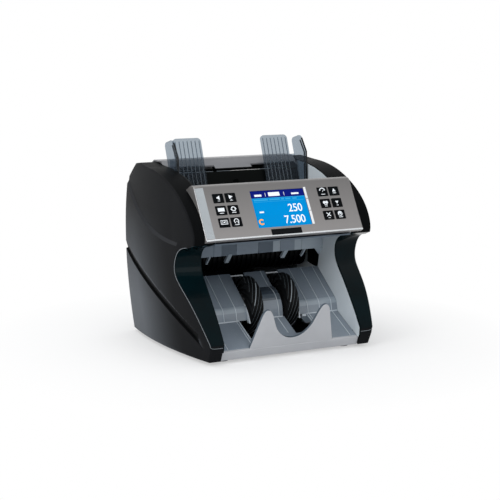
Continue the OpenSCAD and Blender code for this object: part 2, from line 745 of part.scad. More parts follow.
module sensor_bar() {
    y0 = drum_c[0] + drum_r + 1;
    color("#2f3236") box([-bay_x, y0, drum_c[1] - 10], [bay_x, y0 + 12, drum_c[1] + 10]);
}

module main_circuit_board() {
    z = foot_h + base_t + 8;
    y0 = rear_y - 118;
    y1 = rear_y - 14;
    x1 = bay_x - 6;
    color("#1f5a3a") union() {
        box([-30, y0, z], [x1, y1, z + board_t]);
        for (x = [-25, x1 - 5], y = [y0 + 5, y1 - 5])
            translate([x, y, foot_h + base_t]) cylinder(r = 3, h = 8.5);
        for (x = [-12, 18, 48]) box([x, y0 + 40, z + board_t - 0.5], [x + 18, y0 + 58, z + board_t + 2]);
        box([-20, y0 + 76, z + board_t - 0.5], [84, y0 + 82, z + board_t + 9]);
    }
}
module power_supply() {
    size = [64, 52, 40];
    corner = [6 - bay_x, rear_y - 90, foot_h + base_t];
    color("#a9acb0") box(corner, corner + size);
}
module rear_shell(y0, z0, z1) {
    intersection() {
        difference() {
            slab(-bay_x + slip, bay_x - slip, inset(outline, 0.4));
            slab(-bay_x, bay_x, inset(outline, 0.4 + wall));
        }
        box([-bay_x, y0, z0], [bay_x, rear_y + 1, z1]);
    }
}
module rear_cover() {
    color("#2b2b2d") difference() {
        rear_shell(rear_y - base_inset, foot_h + 0.2, split_z);
        box([inlet_x - 15, rear_y - 20, inlet_z - 12], [rocker_x + 14, rear_y + 5, inlet_z + 12]);
        for (p = ports()) box([p[0] - p[1] / 2, rear_y - 20, p[2]],
            [p[0] + p[1] / 2, rear_y + 5, p[2] + p[3]]);
        for (x = [-screw_x, screw_x], z = screw_z) translate([x, rear_y - 20, z]) rotate([-90, 0, 0])
            cylinder(r = screw_r, h = 30);
    }
}
// Data sockets: middle x, width, bottom z, height
function ports() = [[8, 31, 24, 12.6], [44, 16, 24, 13.6], [72, 13.2, 24, 14.2]];
module data_ports() {
    rim = 1.5;
    color("#8d9196") for (p = ports()) difference() {
        box([p[0] - p[1] / 2 + slip, rear_y - 18, p[2] + slip],
            [p[0] + p[1] / 2 - slip, rear_y - 2.5, p[2] + p[3] - slip]);
        box([p[0] - p[1] / 2 + rim, rear_y - 14, p[2] + rim],
            [p[0] + p[1] / 2 - rim, rear_y, p[2] + p[3] - rim]);
    }
}
module power_inlet() {
    y1 = rear_y - 2;
    color("#121213") difference() {
        box([inlet_x - 15 + slip, rear_y - 32, inlet_z - 12 + slip],
            [rocker_x + 14 - slip, y1, inlet_z + 12 - slip]);
        box([inlet_x - 12, rear_y - 20, inlet_z - 8.5], [inlet_x + 12, y1 + 1, inlet_z + 8.5]);
        box([rocker_x - 11, rear_y - 20, inlet_z - 7.5], [rocker_x + 11, y1 + 1, inlet_z + 7.5]);
        for (z = [-1, 1]) translate([rocker_x, rear_y - 7, inlet_z + z * 6])
            cylinder(r = 1.5 + run_gap, h = 6, center = true);
    }
    color("#c9ccce") for (x = [-7, 0, 7]) box([inlet_x + x - 1, rear_y - 20, inlet_z - 2 + (x == 0 ? 3 : 0)],
        [inlet_x + x + 1, rear_y - 5, inlet_z + 2 + (x == 0 ? 3 : 0)]);
}
module power_switch() {
    color("#1c1c1e") translate([rocker_x, rear_y - 7, inlet_z]) rotate([0, 0, 8]) union() {
        translate([0, 0, -7]) linear_extrude(14)
            polygon([[-9, -4], [-9, 6.2], [0, 4.4], [9, 6.2], [9, -4], [5, -7], [-5, -7]]);
        translate([0, 0, -8.6]) cylinder(r = 1.5, h = 17.2);
    }
}
module rear_door() {
    color("#2b2b2d") difference() {
        union() {
            rear_shell(rear_y - 30, hinge_c[1], door_top_z - 0.5);
            intersection() {
                rear_shell(rear_y - 30, split_z, hinge_c[1]);
                bar_x(-bay_x, bay_x, hinge_c, hinge_c[1] - split_z - 0.5);
            }
            for (s = [-1, 1]) side(s) bar_x(hinge_in - 4, bay_x - gap, hinge_c, hinge_r + 2.4);
        }
        for (s = [-1, 1]) side(s) bar_x(hinge_in - gap, bay_x + 1, hinge_c, hinge_r + run_gap);
        box([-30, rear_y - 20, door_top_z - 9], [30, rear_y + 3, door_top_z - 4]);
    }
}
module cover_screws() {
    color("#8d9196") for (x = [-screw_x, screw_x], z = screw_z) translate([x, rear_at(z) - 0.25, z]) {
        translate([0, head_h, 0]) rotate([90, 0, 0]) cylinder(r = 3, h = head_h);
        translate([0, slip, 0]) rotate([90, 0, 0]) cylinder(r = screw_r - slip, h = 7);
    }
}
module feed_gap_knob() {
    grips = 18;
    color("#1f1f21") translate([0, knob_c[0], knob_c[1]]) rotate([-crown_tilt, 0, 0]) union() {
        translate([0, 0, -12]) cylinder(r = stem_r, h = 13);
        translate([0, 0, gap]) difference() {
            cylinder(r = knob_r, h = knob_h);
            for (i = [0:grips - 1]) rotate(i * 360 / grips) translate([knob_r + 0.6, 0, -1])
                cylinder(r = 1.2, h = knob_h + 2);
        }
    }
}

base_plate();
rubber_feet();
left_side_frame();
right_side_frame();
left_side_cover();
right_side_cover();
left_inner_wall();
right_inner_wall();
front_trim_bar();
tray_floor();
note_stop_plate();
left_drum_cover();
centre_drum_cover();
right_drum_cover();
upper_note_guide();
control_panel();
display_module();
badge_plate();
key_circuit_board();
hopper_plate();
hopper_rear_cover();
guide_rods();
shaft_bushes();
retard_rollers();
drive_motor();
drive_belts();
sensor_bar();
main_circuit_board();
power_supply();
power_inlet();
data_ports();
rear_cover();
cover_screws();
key_left_1();
key_left_2();
key_left_3();
key_left_4();
key_left_5();
key_left_6();
key_right_1();
key_right_2();
key_right_3();
key_right_4();
key_right_5();
key_right_6();
left_note_guide();
right_note_guide();
guide_pinion();
pickup_shaft();
pickup_rollers();
feed_shaft();
feed_rollers();
transport_drum();
stacker_shaft();
left_stacker_wheel();
right_stacker_wheel();
motor_pulley();
power_switch();
rear_door();
feed_gap_knob();
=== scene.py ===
"""Looks for the banknote counting machine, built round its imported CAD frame."""
import json
import logging
import math
from collections.abc import Callable, Sequence
from dataclasses import dataclass, replace
from enum import Enum
from itertools import product

import bmesh
import bpy
import numpy as np
from bmesh.types import BMesh
from bpy.types import Material, Mesh, Node, NodeSocket, NodeTree, Object
from mathutils import Matrix, Vector
from mathutils.geometry import delaunay_2d_cdt

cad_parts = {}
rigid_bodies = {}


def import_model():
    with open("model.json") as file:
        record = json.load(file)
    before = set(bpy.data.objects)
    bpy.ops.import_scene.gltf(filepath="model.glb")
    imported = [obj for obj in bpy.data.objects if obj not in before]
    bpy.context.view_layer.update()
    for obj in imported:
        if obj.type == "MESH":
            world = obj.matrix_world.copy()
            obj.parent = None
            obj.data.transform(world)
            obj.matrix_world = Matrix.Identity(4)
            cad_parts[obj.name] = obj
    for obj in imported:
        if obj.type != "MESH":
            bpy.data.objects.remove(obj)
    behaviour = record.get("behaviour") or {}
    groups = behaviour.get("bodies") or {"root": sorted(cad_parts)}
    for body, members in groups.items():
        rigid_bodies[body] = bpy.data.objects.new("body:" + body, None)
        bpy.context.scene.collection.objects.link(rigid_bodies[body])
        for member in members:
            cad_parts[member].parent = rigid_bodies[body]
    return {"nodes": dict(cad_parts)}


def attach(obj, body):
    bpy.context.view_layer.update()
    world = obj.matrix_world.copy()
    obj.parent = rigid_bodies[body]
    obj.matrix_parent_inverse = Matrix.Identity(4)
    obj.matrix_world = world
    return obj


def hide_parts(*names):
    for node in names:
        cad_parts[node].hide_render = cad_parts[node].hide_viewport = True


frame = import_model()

logging.basicConfig(level=logging.INFO, format="%(message)s")
LOG = logging.getLogger("counter")
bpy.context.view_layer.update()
MM = 0.001
CHASSIS = "chassis"
COAT_ROUGHNESS = 0.08
Point = tuple[float, float]
Place = tuple[float, float, float]
Value = float | tuple | NodeSocket


# ---------------------------------------------------------------- finishes

def linear(code: str) -> tuple[float, float, float, float]:
    """Turns an sRGB hex colour into a linear one.

    Args:
        code: The colour as "#rrggbb".

    Returns:
        Red, green, blue and alpha, linear.
    """
    parts = [int(code[i:i + 2], 16) / 255 for i in (1, 3, 5)]
    made = [c / 12.92 if c <= 0.04045 else ((c + 0.055) / 1.055) ** 2.4 for c in parts]
    return (*made, 1.0)


def fill(tree: NodeTree, node: Node, links: dict) -> None:
    """Fills or links a node's inputs.

    Args:
        tree: The node tree.
        node: The node.
        links: Input name or index to a value or to another node's output.
    """
    for key, value in links.items():
        if isinstance(value, NodeSocket):
            tree.links.new(value, node.inputs[key])
        else:
            node.inputs[key].default_value = value


def put(tree: NodeTree, kind: str, links: dict | None = None, **settings) -> Node:
    """Adds a node with its settings, and fills or links its inputs.

    Args:
        tree: The node tree.
        kind: The node's type name.
        links: As in fill.
        settings: Properties of the node.

    Returns:
        The new node.
    """
    node = tree.nodes.new(kind)
    for key, value in settings.items():
        setattr(node, key, value)
    fill(tree, node, links or {})
    return node


def sums(tree: NodeTree, operation: str, *values: Value, **settings) -> NodeSocket:
    """One step of arithmetic on numbers or sockets."""
    return put(tree, "ShaderNodeMath", dict(enumerate(values)), operation=operation, **settings).outputs[0]


def ranged(tree: NodeTree, value: Value, start: float, end: float,
           low: float = 0.0, high: float = 1.0) -> NodeSocket:
    """Maps start to end of a value onto low to high, and holds it there."""
    return put(tree, "ShaderNodeMapRange", {
        "Value": value, "From Min": start, "From Max": end, "To Min": low, "To Max": high}).outputs[0]


def noise(tree: NodeTree, place: Value, size_mm: float, detail: float = 2.0) -> NodeSocket:
    """Noise with cells of a size."""
    return put(tree, "ShaderNodeTexNoise", {
        "Vector": place, "Scale": 1 / (size_mm * MM), "Detail": detail}).outputs["Fac"]


def mixed(tree: NodeTree, share: Value, first: Value, second: Value) -> NodeSocket:
    """Mixes two colours."""
    return put(tree, "ShaderNodeMix", {"Factor": share, 6: first, 7: second}, data_type="RGBA").outputs[2]


def facing(tree: NodeTree) -> NodeSocket:
    """How far a surface turns away from the ray that meets it."""
    return put(tree, "ShaderNodeLayerWeight", {"Blend": 0.5}).outputs["Facing"]


def blank(name: str) -> tuple[Material, NodeTree, Node, NodeSocket]:
    """A new node material with its tree, its shader and the object's coordinates."""
    made = bpy.data.materials.new(name)
    made.use_nodes = True
    tree = made.node_tree
    return made, tree, tree.nodes["Principled BSDF"], put(tree, "ShaderNodeTexCoord").outputs["Object"]


class Grain(Enum):
    """How a surface was made, which sets the pattern in its bump."""
    SPARKED = "spark-eroded mould"
    BRUSHED = "brushed along X"
    TURNED = "turned about X"
    POLISHED = "polished mould"


STRETCH = {Grain.SPARKED: (1, 1, 1), Grain.BRUSHED: (0.04, 1, 1), Grain.TURNED: (1, 0.05, 0.05),
           Grain.POLISHED: (1, 1, 1)}


@dataclass(frozen=True)
class Finish:
    """One material, the way its surface was made, and any painted shade or sheen in its colour."""
    name: str
    colour: str
    second: str
    roughness: float
    grain_mm: float = 0.5
    relief_mm: float = 0.02
    spread: float = 0.06
    cloud_mm: float = 40.0
    metallic: float = 0.0
    coat: float = 0.0
    glow: float = 0.0
    specular: float = 0.5
    # painted shade: a second tone that takes over between two heights in mm
    painted_shade_mm: Point | None = None
    # painted sheen: a lighter tone at a glancing angle, strongest low down
    graze: str | None = None
    graze_mm: Point = (200.0, 60.0)
    graze_facing: Point = (0.54, 0.72)
    grain: Grain = Grain.SPARKED

    def variant(self, name: str, colour: str, second: str, **changes) -> "Finish":
        """The same surface in other colours."""
        return replace(self, name=name, colour=colour, second=second, **changes)

    def tint(self, tree: NodeTree, place: NodeSocket) -> NodeSocket:
        """The colour: two tones in clouds, or over the height as painted shade, and a painted sheen at a
        glancing angle.
        """
        height = put(tree, "ShaderNodeSeparateXYZ", {0: place}).outputs["Z"]
        if self.painted_shade_mm:
            blend = ranged(tree, height, self.painted_shade_mm[0] * MM, self.painted_shade_mm[1] * MM)
        else:
            blend = ranged(tree, noise(tree, place, self.cloud_mm, 3.0), 0.35, 0.65)
        colour = mixed(tree, blend, linear(self.colour), linear(self.second))
        if self.graze:
            slant = sums(tree, "POWER", ranged(tree, facing(tree), *self.graze_facing), 1.5)
            low = ranged(tree, height, self.graze_mm[0] * MM, self.graze_mm[1] * MM)
            colour = mixed(tree, sums(tree, "MULTIPLY", slant, low), colour, linear(self.graze))
        return colour

    def material(self) -> Material:
        """Builds the material once and returns it afterwards."""
        found = bpy.data.materials.get(self.name)
        if found:
            return found
        made, tree, shader, place = blank(self.name)
        turned = put(tree, "ShaderNodeMapping", {"Vector": place, "Scale": STRETCH[self.grain]}).outputs[0]
        fine = noise(tree, turned, self.grain_mm)
        rough = ranged(tree, fine, 0.3, 0.7, self.roughness - self.spread, self.roughness + self.spread)
        bump = put(tree, "ShaderNodeBump", {"Height": fine, "Distance": self.relief_mm * MM, "Strength": 0.6})
        fill(tree, shader, {
            "Base Color": self.tint(tree, place), "Roughness": rough, "Normal": bump.outputs[0],
            "Metallic": self.metallic, "Coat Weight": self.coat, "Coat Roughness": COAT_ROUGHNESS,
            "Specular IOR Level": self.specular})
        if self.glow:
            fill(tree, shader, {"Emission Color": linear(self.colour), "Emission Strength": self.glow})
        return made


@dataclass(frozen=True)
class ClearFinish:
    """Tinted see-through plastic, such as polycarbonate, with a polished surface."""
    name: str
    clear: str
    haze: str
    veil: float
    roughness: float = 0.12
    wave_mm: float = 3.0
    relief_mm: float = 0.03
    edge_shine: float = 0.9

    def material(self) -> Material:
        """Builds the material once and returns it afterwards."""
        found = bpy.data.materials.get(self.name)
        if found:
            return found
        made, tree, shader, place = blank(self.name)
        fine = noise(tree, place, self.wave_mm)
        bump = put(tree, "ShaderNodeBump", {"Height": fine, "Distance": self.relief_mm * MM, "Strength": 0.5})
        fill(tree, shader, {
            "Base Color": linear(self.haze), "Normal": bump.outputs[0],
            "Roughness": ranged(tree, fine, 0.0, 1.0, self.roughness * 0.6, self.roughness * 1.4)})
        clear = put(tree, "ShaderNodeBsdfTransparent", {"Color": linear(self.clear)})
        shine = sums(tree, "POWER", facing(tree), 5.0)
        share = sums(tree, "MULTIPLY_ADD", shine, self.edge_shine, self.veil + 0.03, use_clamp=True)
        mix = put(tree, "ShaderNodeMixShader", {0: share, 1: clear.outputs[0], 2: shader.outputs[0]})
        fill(tree, tree.nodes["Material Output"], {"Surface": mix.outputs[0]})
        return made


AnyFinish = Finish | ClearFinish

# Charcoal ABS from a spark-eroded mould: soft satin, with a painted sheen that lightens it at a glancing
# angle, more so low down
COVER = Finish("charcoal_abs_textured", "#18191b", "#161719", 0.42, grain_mm=0.7, relief_mm=0.02,
               specular=0.02, graze="#5f6368")
# The same ABS with painted shade in the groove and along the crest, and with a painted highlight on the
# leaf's bevel
COVER_SHADE = Finish("charcoal_abs_painted_shade", "#0c0d0e", "#0e0f10", 0.4, grain_mm=1.5, relief_mm=0.006,
                    specular=0.01, grain=Grain.POLISHED)
COVER_LIT = COVER.variant("charcoal_abs_painted_highlight", "#25272a", "#232427", roughness=0.36, relief_mm=0.01,
                          specular=0.05, graze=None)
# Black ABS from a polished mould with a lacquer: mirrors soft light as a narrow band
RIM = Finish("black_abs_lacquered", "#05161a", "#071114", 0.15, grain_mm=2.0, relief_mm=0.004, spread=0.03,
             specular=0.05, grain=Grain.POLISHED)
# Silver-grey metallic paint on moulded ABS: fine flake, satin, with painted shade that darkens it towards the
# top
PANEL = Finish("warm_grey_metallic_paint", "#8b8887", "#6f6d6c", 0.38, grain_mm=0.35, relief_mm=0.008,
               metallic=0.35, coat=0.08, painted_shade_mm=(172.0, 236.0))
# The same paint where the panel's end is bevelled, with a painted highlight that makes it brighter
PANEL_EDGE = Finish("panel_paint_painted_highlight", "#a9afb3", "#a4aaae", 0.30, grain_mm=0.35, relief_mm=0.006,
                    metallic=0.4, coat=0.2)
# Painted highlight on the bevel beside the screen: a bright strip
SCREEN_BEVEL_HIGHLIGHT = Finish("screen_bevel_painted_highlight", "#f0f2f3", "#e6e8ea", 0.14, grain_mm=1.2, relief_mm=0.002, spread=0.03,
                metallic=0.35, grain=Grain.POLISHED)
# Silver paint on the note stop and the trim bar: pearl, even
SILVER = Finish("pearl_silver_paint", "#b3b5b9", "#adafb3", 0.36, grain_mm=0.3, relief_mm=0.006,
                metallic=0.25, coat=0.15)
# Smoky polycarbonate of the tray: glossy, with painted shade that darkens it towards the top
TRAY = Finish("smoky_polycarbonate_tray", "#858f99", "#545e68", 0.22, grain_mm=1.5, relief_mm=0.008,
              coat=0.3, painted_shade_mm=(66.0, 106.0), grain=Grain.POLISHED)
# Painted highlight on edges and ribs of the same plastic: a pale tone, with painted shade that darkens it
# towards the top
TRAY_HIGHLIGHT = Finish("smoky_polycarbonate_edge_highlight", "#c3ccd3", "#808b94", 0.20, grain_mm=1.0, relief_mm=0.006,
                  coat=0.3, painted_shade_mm=(60.0, 108.0), grain=Grain.POLISHED)
# Light grey ABS of the inner walls
LINER = Finish("light_grey_abs", "#d3dbe0", "#cbd3d8", 0.34, grain_mm=0.8, relief_mm=0.01, coat=0.1)
# Grey painted hopper cover
HOPPER = Finish("mid_grey_painted_abs", "#6a6b6f", "#66676b", 0.36, grain_mm=0.35, relief_mm=0.008,
                metallic=0.25, coat=0.08)
# Black ABS of the hopper's inside: satin
HOPPER_BLACK = Finish("black_abs_satin", "#060908", "#050707", 0.38, grain_mm=0.8, relief_mm=0.02,
                      specular=0.04)
# Key caps: black, laser-marked, smooth
KEY = Finish("black_polycarbonate_key", "#03080b", "#030608", 0.24, grain_mm=0.6, relief_mm=0.004,
             specular=0.05)
# White printed marks, with a faint painted glow
PRINT = Finish("white_pad_print_painted_glow", "#e9edf0", "#dfe4e8", 0.5, grain_mm=0.3, relief_mm=0.003, glow=0.12)
# Screen colours: backlit film
FIELD = Finish("lcd_cyan_field", "#008ad0", "#0486ca", 0.16, grain_mm=0.4, relief_mm=0.001, glow=0.16,
               specular=0.02)
HEADER = FIELD.variant("lcd_navy_header", "#0b1a78", "#0a1872", glow=0.1, specular=0.03)
ROW = FIELD.variant("lcd_pale_row", "#3aa6d8", "#329ed1", glow=0.13, specular=0.03)
DIGIT = FIELD.variant("lcd_white_digits", "#f2f6f8", "#eef3f6", roughness=0.2, specular=0.1)
COIN = FIELD.variant("lcd_orange_mark", "#f5a013", "#ee990f", roughness=0.2, glow=0.4, specular=0.5)
# Bare badge: black acrylic
BADGE = Finish("black_acrylic_badge", "#04070a", "#06090d", 0.12, grain_mm=1.5, relief_mm=0.003,
               specular=0.08, grain=Grain.POLISHED)
# Vulcanised rubber of wheels, rollers and feet
RUBBER = Finish("black_rubber", "#0a0b0c", "#0e0f10", 0.45, grain_mm=0.5, relief_mm=0.04, spread=0.1,
                specular=0.08)
RUBBER_GREY = Finish("grey_polyurethane", "#4a4b4d", "#434446", 0.5, grain_mm=0.5, relief_mm=0.04)
DRUM = Finish("black_acetal_ribbed", "#040607", "#06080a", 0.34, grain_mm=0.6, relief_mm=0.01, specular=0.05,
              grain=Grain.TURNED)
# Ground steel and zinc-plated sheet
STEEL = Finish("ground_steel", "#b9bdc0", "#aeb2b5", 0.24, grain_mm=0.25, relief_mm=0.004, metallic=1.0,
               grain=Grain.TURNED)
PLATED = Finish("zinc_plated_sheet", "#b2b6b8", "#a3a8ab", 0.34, grain_mm=0.8, relief_mm=0.006, metallic=1.0,
                cloud_mm=18.0, grain=Grain.BRUSHED)
BRASS = Finish("sintered_bronze", "#b0864a", "#9c7740", 0.42, grain_mm=0.4, relief_mm=0.02, metallic=1.0)
MOTOR = Finish("painted_steel_can", "#55585c", "#4c4f53", 0.4, grain_mm=0.6, relief_mm=0.02, metallic=0.4)
BOARD = Finish("green_solder_mask", "#1d5a3a", "#184e32", 0.3, grain_mm=1.5, relief_mm=0.02, cloud_mm=6.0)
NYLON = Finish("white_nylon_gear", "#e6e6e1", "#dcdcd6", 0.4, grain_mm=0.5, relief_mm=0.01)
BLACK_PART = Finish("black_nylon_fitting", "#111214", "#16171a", 0.42, specular=0.12)
# Side faces of the wheels: rubber with fine moulded hatching
RUBBER_HATCH = Finish("black_rubber_hatched", "#17181a", "#1e2022", 0.48, grain_mm=1.1, relief_mm=0.12,
                      spread=0.1, grain=Grain.TURNED)
# Facets of the smoky shield in three depths of tone
SHIELD = Finish("smoky_shield_mid", "#78838e", "#737e89", 0.34, grain_mm=8.0, relief_mm=0.0005,
                specular=0.15, grain=Grain.POLISHED)
SHIELD_DARK = SHIELD.variant("smoky_shield_deep", "#5a6570", "#55606b")
SHIELD_LIGHT = SHIELD.variant("smoky_shield_pale", "#98a3ac", "#939ea7")
PLATED_DARK = Finish("dark_zinc_plated_sheet", "#5a5d60", "#505356", 0.4, grain_mm=0.8, relief_mm=0.006,
                     metallic=0.9, grain=Grain.BRUSHED)
PLATED_FRAME = Finish("zinc_plated_frame", "#aab0b4", "#9aa0a4", 0.36, grain_mm=0.8, relief_mm=0.006,
                      metallic=1.0, cloud_mm=14.0)
# Smoky clear plates of the hopper's note guides
GUIDE = ClearFinish("smoky_clear_polycarbonate", "#ccd2d7", "#8f9ba8", 0.03)
GUIDE_RIB = ClearFinish("smoky_clear_rib", "#bcc5cc", "#98a4ae", 0.22)
GUIDE_DARK = ClearFinish("smoky_clear_edge", "#3a4046", "#181c20", 0.45)
# Painted highlights on the wheels: a thin pale line along the head of a vane, and a duller one along the cut
# between two vanes
VANE_HIGHLIGHT = Finish("rubber_vane_painted_highlight", "#8b9399", "#7f878d", 0.4, grain_mm=0.6, relief_mm=0.01)
SLIT_HIGHLIGHT = VANE_HIGHLIGHT.variant("rubber_slit_painted_highlight", "#5c6469", "#50585d", specular=0.1)
# Steel clips across the wheel slots: nickel-plated wire
CLIP = Finish("satin_nickel_wire", "#b4babf", "#a9afb4", 0.4, grain_mm=0.4, relief_mm=0.004, metallic=0.3)
# Smoky polycarbonate again, with painted light: a painted shadow on the nose below its fold, paler painted
# shade just below that (a tone also used on the note stop's body and the slot's tongue), and a painted
# highlight along the outer covers' fold
TRAY_SHADOW = Finish("smoky_polycarbonate_painted_shadow", "#49525b", "#37404a", 0.2, grain_mm=1.5, relief_mm=0.006,
                   coat=0.25, grain=Grain.POLISHED)
TRAY_DUSK = TRAY_SHADOW.variant("smoky_polycarbonate_dusk", "#5a646d", "#566069")
TRAY_LIT = TRAY_SHADOW.variant("smoky_polycarbonate_fold_highlight", "#9ba6af", "#95a0a9", coat=0.3)
# Painted highlights as thin bright edges: on the rims of the side covers, and round the panel's foot and end
COVER_EDGE_HIGHLIGHT = Finish("abs_edge_painted_highlight", "#7f8589", "#777d81", 0.3, grain_mm=0.6, relief_mm=0.002,
                    specular=0.2)
LIP = Finish("silver_painted_highlight", "#dde0e2", "#d5d9db", 0.28, grain_mm=0.35, relief_mm=0.004,
             metallic=0.25, coat=0.2)


# ---------------------------------------------------------------- shapes, in mm

def cubic(a: Point, b: Point, c: Point, d: Point, count: int) -> list[Point]:
    """Points of a cubic curve, without its first one.

    Args:
        a: Start.
        b: First handle.
        c: Second handle.
        d: End.
        count: Number of points.

    Returns:
        The points, the last of which is d.
    """
    made = []
    for i in range(1, count + 1):
        t = i / count
        s = 1 - t
        w = (s ** 3, 3 * t * s * s, 3 * t * t * s, t ** 3)
        made.append(tuple(sum(k * p[j] for k, p in zip(w, (a, b, c, d))) for j in (0, 1)))
    return made


def fillet(points: Sequence[Point], radii: dict[int, float], count: int = 6) -> list[Point]:
    """Rounds some corners of an open or closed line with quadratic arcs.

    Args:
        points: The corners.
        radii: Index of a corner to how far its arc starts from it.
        count: Segments in an arc.

    Returns:
        The line with its arcs.
    """
    made: list[Point] = []
    for i, p in enumerate(points):
        if i not in radii:
            made.append(p)
            continue
        mid = Vector(p)
        before = (Vector(points[i - 1]) - mid).normalized() * radii[i] + mid
        after = (Vector(points[(i + 1) % len(points)]) - mid).normalized() * radii[i] + mid
        for j in range(count + 1):
            t = j / count
            made.append(tuple(before * (1 - t) ** 2 + mid * 2 * t * (1 - t) + after * t * t))
    return made


def shifted(line: Sequence[Point], distance: float) -> list[Point]:
    """Moves an open line sideways, to the right of its direction."""
    made = []
    for i, p in enumerate(line):
        a, b = Vector(line[max(i - 1, 0)]), Vector(line[min(i + 1, len(line) - 1)])
        way = (b - a).normalized()
        made.append((p[0] + way.y * distance, p[1] - way.x * distance))
    return made


def sheet(line: Sequence[Point], near: float, far: float) -> list[Point]:
    """Closed outline between two sideways shifts of an open line."""
    return [*shifted(line, near), *reversed(shifted(line, far))]


def loop_inset(loop: Sequence[Point], distance: float) -> list[Point]:
    """Moves a clockwise closed loop inwards."""
    made = []
    for i, p in enumerate(loop):
        a, b = Vector(loop[i - 1]), Vector(loop[(i + 1) % len(loop)])
        u, v = (Vector(p) - a).normalized(), (b - Vector(p)).normalized()
        r = Vector((u.y, -u.x)) + Vector((v.y, -v.x))
        scale = 2 / max(r.length_squared, 0.6)
        made.append((p[0] + r.x * distance * scale, p[1] + r.y * distance * scale))
    return made


def dense(loop: Sequence[Point], step: float, closed: bool = True) -> list[Point]:
    """Adds points so that no segment is longer than step."""
    made = []
    last = len(loop) if closed else len(loop) - 1
    for i in range(last):
        a, b = Vector(loop[i]), Vector(loop[(i + 1) % len(loop)])
        count = max(1, math.ceil((b - a).length / step))
        made += [tuple(a.lerp(b, j / count)) for j in range(count)]
    return made if closed else made + [tuple(loop[-1])]


def rounded_rect(x0: float, x1: float, y0: float, y1: float, radius: float, count: int = 4) -> list[Point]:
    """Counter-clockwise rectangle with rounded corners."""
    made = []
    middles = box(x0 + radius, x1 - radius, y0 + radius, y1 - radius)
    for k, (cx, cy) in enumerate((middles[2], middles[3], middles[0], middles[1])):
        made += ring_points(cx, cy, radius, 90 * k, 90 * (k + 1), count)
    return made


def polar(radius: float, degrees: float) -> Point:
    """Flat point at an angle."""
    a = math.radians(degrees)
    return radius * math.cos(a), radius * math.sin(a)


def ring_points(cx: float, cy: float, radius: float, start: float = 0, end: float = 360,
                count: int = 24) -> list[Point]:
    """Points of a circle or an arc, angles in degrees."""
    steps = count if end - start == 360 else count + 1
    arms = [polar(radius, start + (end - start) * i / count) for i in range(steps)]
    return [(cx + u, cy + v) for u, v in arms]


def arc_band(cx: float, cy: float, radius: float, width: float, start: float, end: float,
             count: int) -> list[Point]:
    """Outline of an arc that has a width."""
    return [*ring_points(cx, cy, radius, start, end, count),
            *reversed(ring_points(cx, cy, radius - width, start, end, count))]


def box(x0: float, x1: float, y0: float, y1: float) -> list[Point]:
    """Counter-clockwise rectangle."""
    return [(x0, y0), (x1, y0), (x1, y1), (x0, y1)]


def loft(bm: BMesh, rings: Sequence[Sequence[Place]], index: int = 0) -> None:
    """Adds a closed skin through rings of as many points each, with flat ends."""
    rows = [[bm.verts.new(p) for p in ring] for ring in rings]
    n = len(rows[0])
    faces = [bm.faces.new(list(reversed(rows[0]))), bm.faces.new(rows[-1])]
    for a, b in zip(rows, rows[1:]):
        faces += [bm.faces.new((a[i], a[(i + 1) % n], b[(i + 1) % n], b[i])) for i in range(n)]
    for f in faces:
        f.material_index = index


def prism(bm: BMesh, outline: Sequence[Point], low: Callable[[Point], Place],
          high: Callable[[Point], Place], index: int = 0) -> None:
    """Adds a closed prism between two placements of an outline.

    Args:
        bm: Mesh that gets it.
        outline: Flat points.
        low: Turns a flat point into a place on the first end.
        high: The same for the other end.
        index: Material slot.
    """
    loft(bm, [[low(p) for p in outline], [high(p) for p in outline]], index)


def slab(bm: BMesh, x0: float, x1: float, outline: Sequence[Point], index: int = 0) -> None:
    """Adds a prism along X whose side view is the outline of (y, z) points."""
    prism(bm, outline, lambda p: (x0, *p), lambda p: (x1, *p), index)


def side_slab(bm: BMesh, side: int, near: float, far: float, outline: Sequence[Point]) -> None:
    """Adds a slab on one side of the machine, between two distances from its middle."""
    slab(bm, *sorted((side * near, side * far)), outline)


def written(bm: BMesh, name: str, closed: bool = True) -> Mesh:
    """Turns a mesh under construction into a mesh and frees it; a closed one gets outward faces."""
    if closed:
        bmesh.ops.recalc_face_normals(bm, faces=bm.faces)
    mesh = bpy.data.meshes.new(name)
    bm.to_mesh(mesh)
    bm.free()
    return mesh


def reopened(mesh: Mesh) -> BMesh:
    """Reads a mesh into one under construction and removes it."""
    bm = bmesh.new()
    bm.from_mesh(mesh)
    bpy.data.meshes.remove(mesh)
    return bm


def stand(name: str, data: bpy.types.ID) -> Object:
    """Adds an object to the scene."""
    made = bpy.data.objects.new(name, data)
    bpy.context.scene.collection.objects.link(made)
    return made


def evaluated(obj: Object) -> Mesh:
    """The object's mesh with its modifiers applied; the object is removed."""
    bpy.context.view_layer.update()
    graph = bpy.context.evaluated_depsgraph_get()
    made = bpy.data.meshes.new_from_object(obj.evaluated_get(graph), depsgraph=graph)
    bpy.data.objects.remove(obj)
    return made


def cut(bm: BMesh, *cutters: BMesh) -> BMesh:
    """Subtracts closed shapes from a closed shape and returns the result."""
    body = stand("cut_body", written(bm, "cut_body"))
    tools = [stand("cut_tool", written(c, "cut_tool")) for c in cutters]
    for tool in tools:
        step = body.modifiers.new("cut", "BOOLEAN")
        step.operation, step.solver, step.object = "DIFFERENCE", "EXACT", tool
    mesh = evaluated(body)
    for tool in tools:
        bpy.data.objects.remove(tool)
    return reopened(mesh)


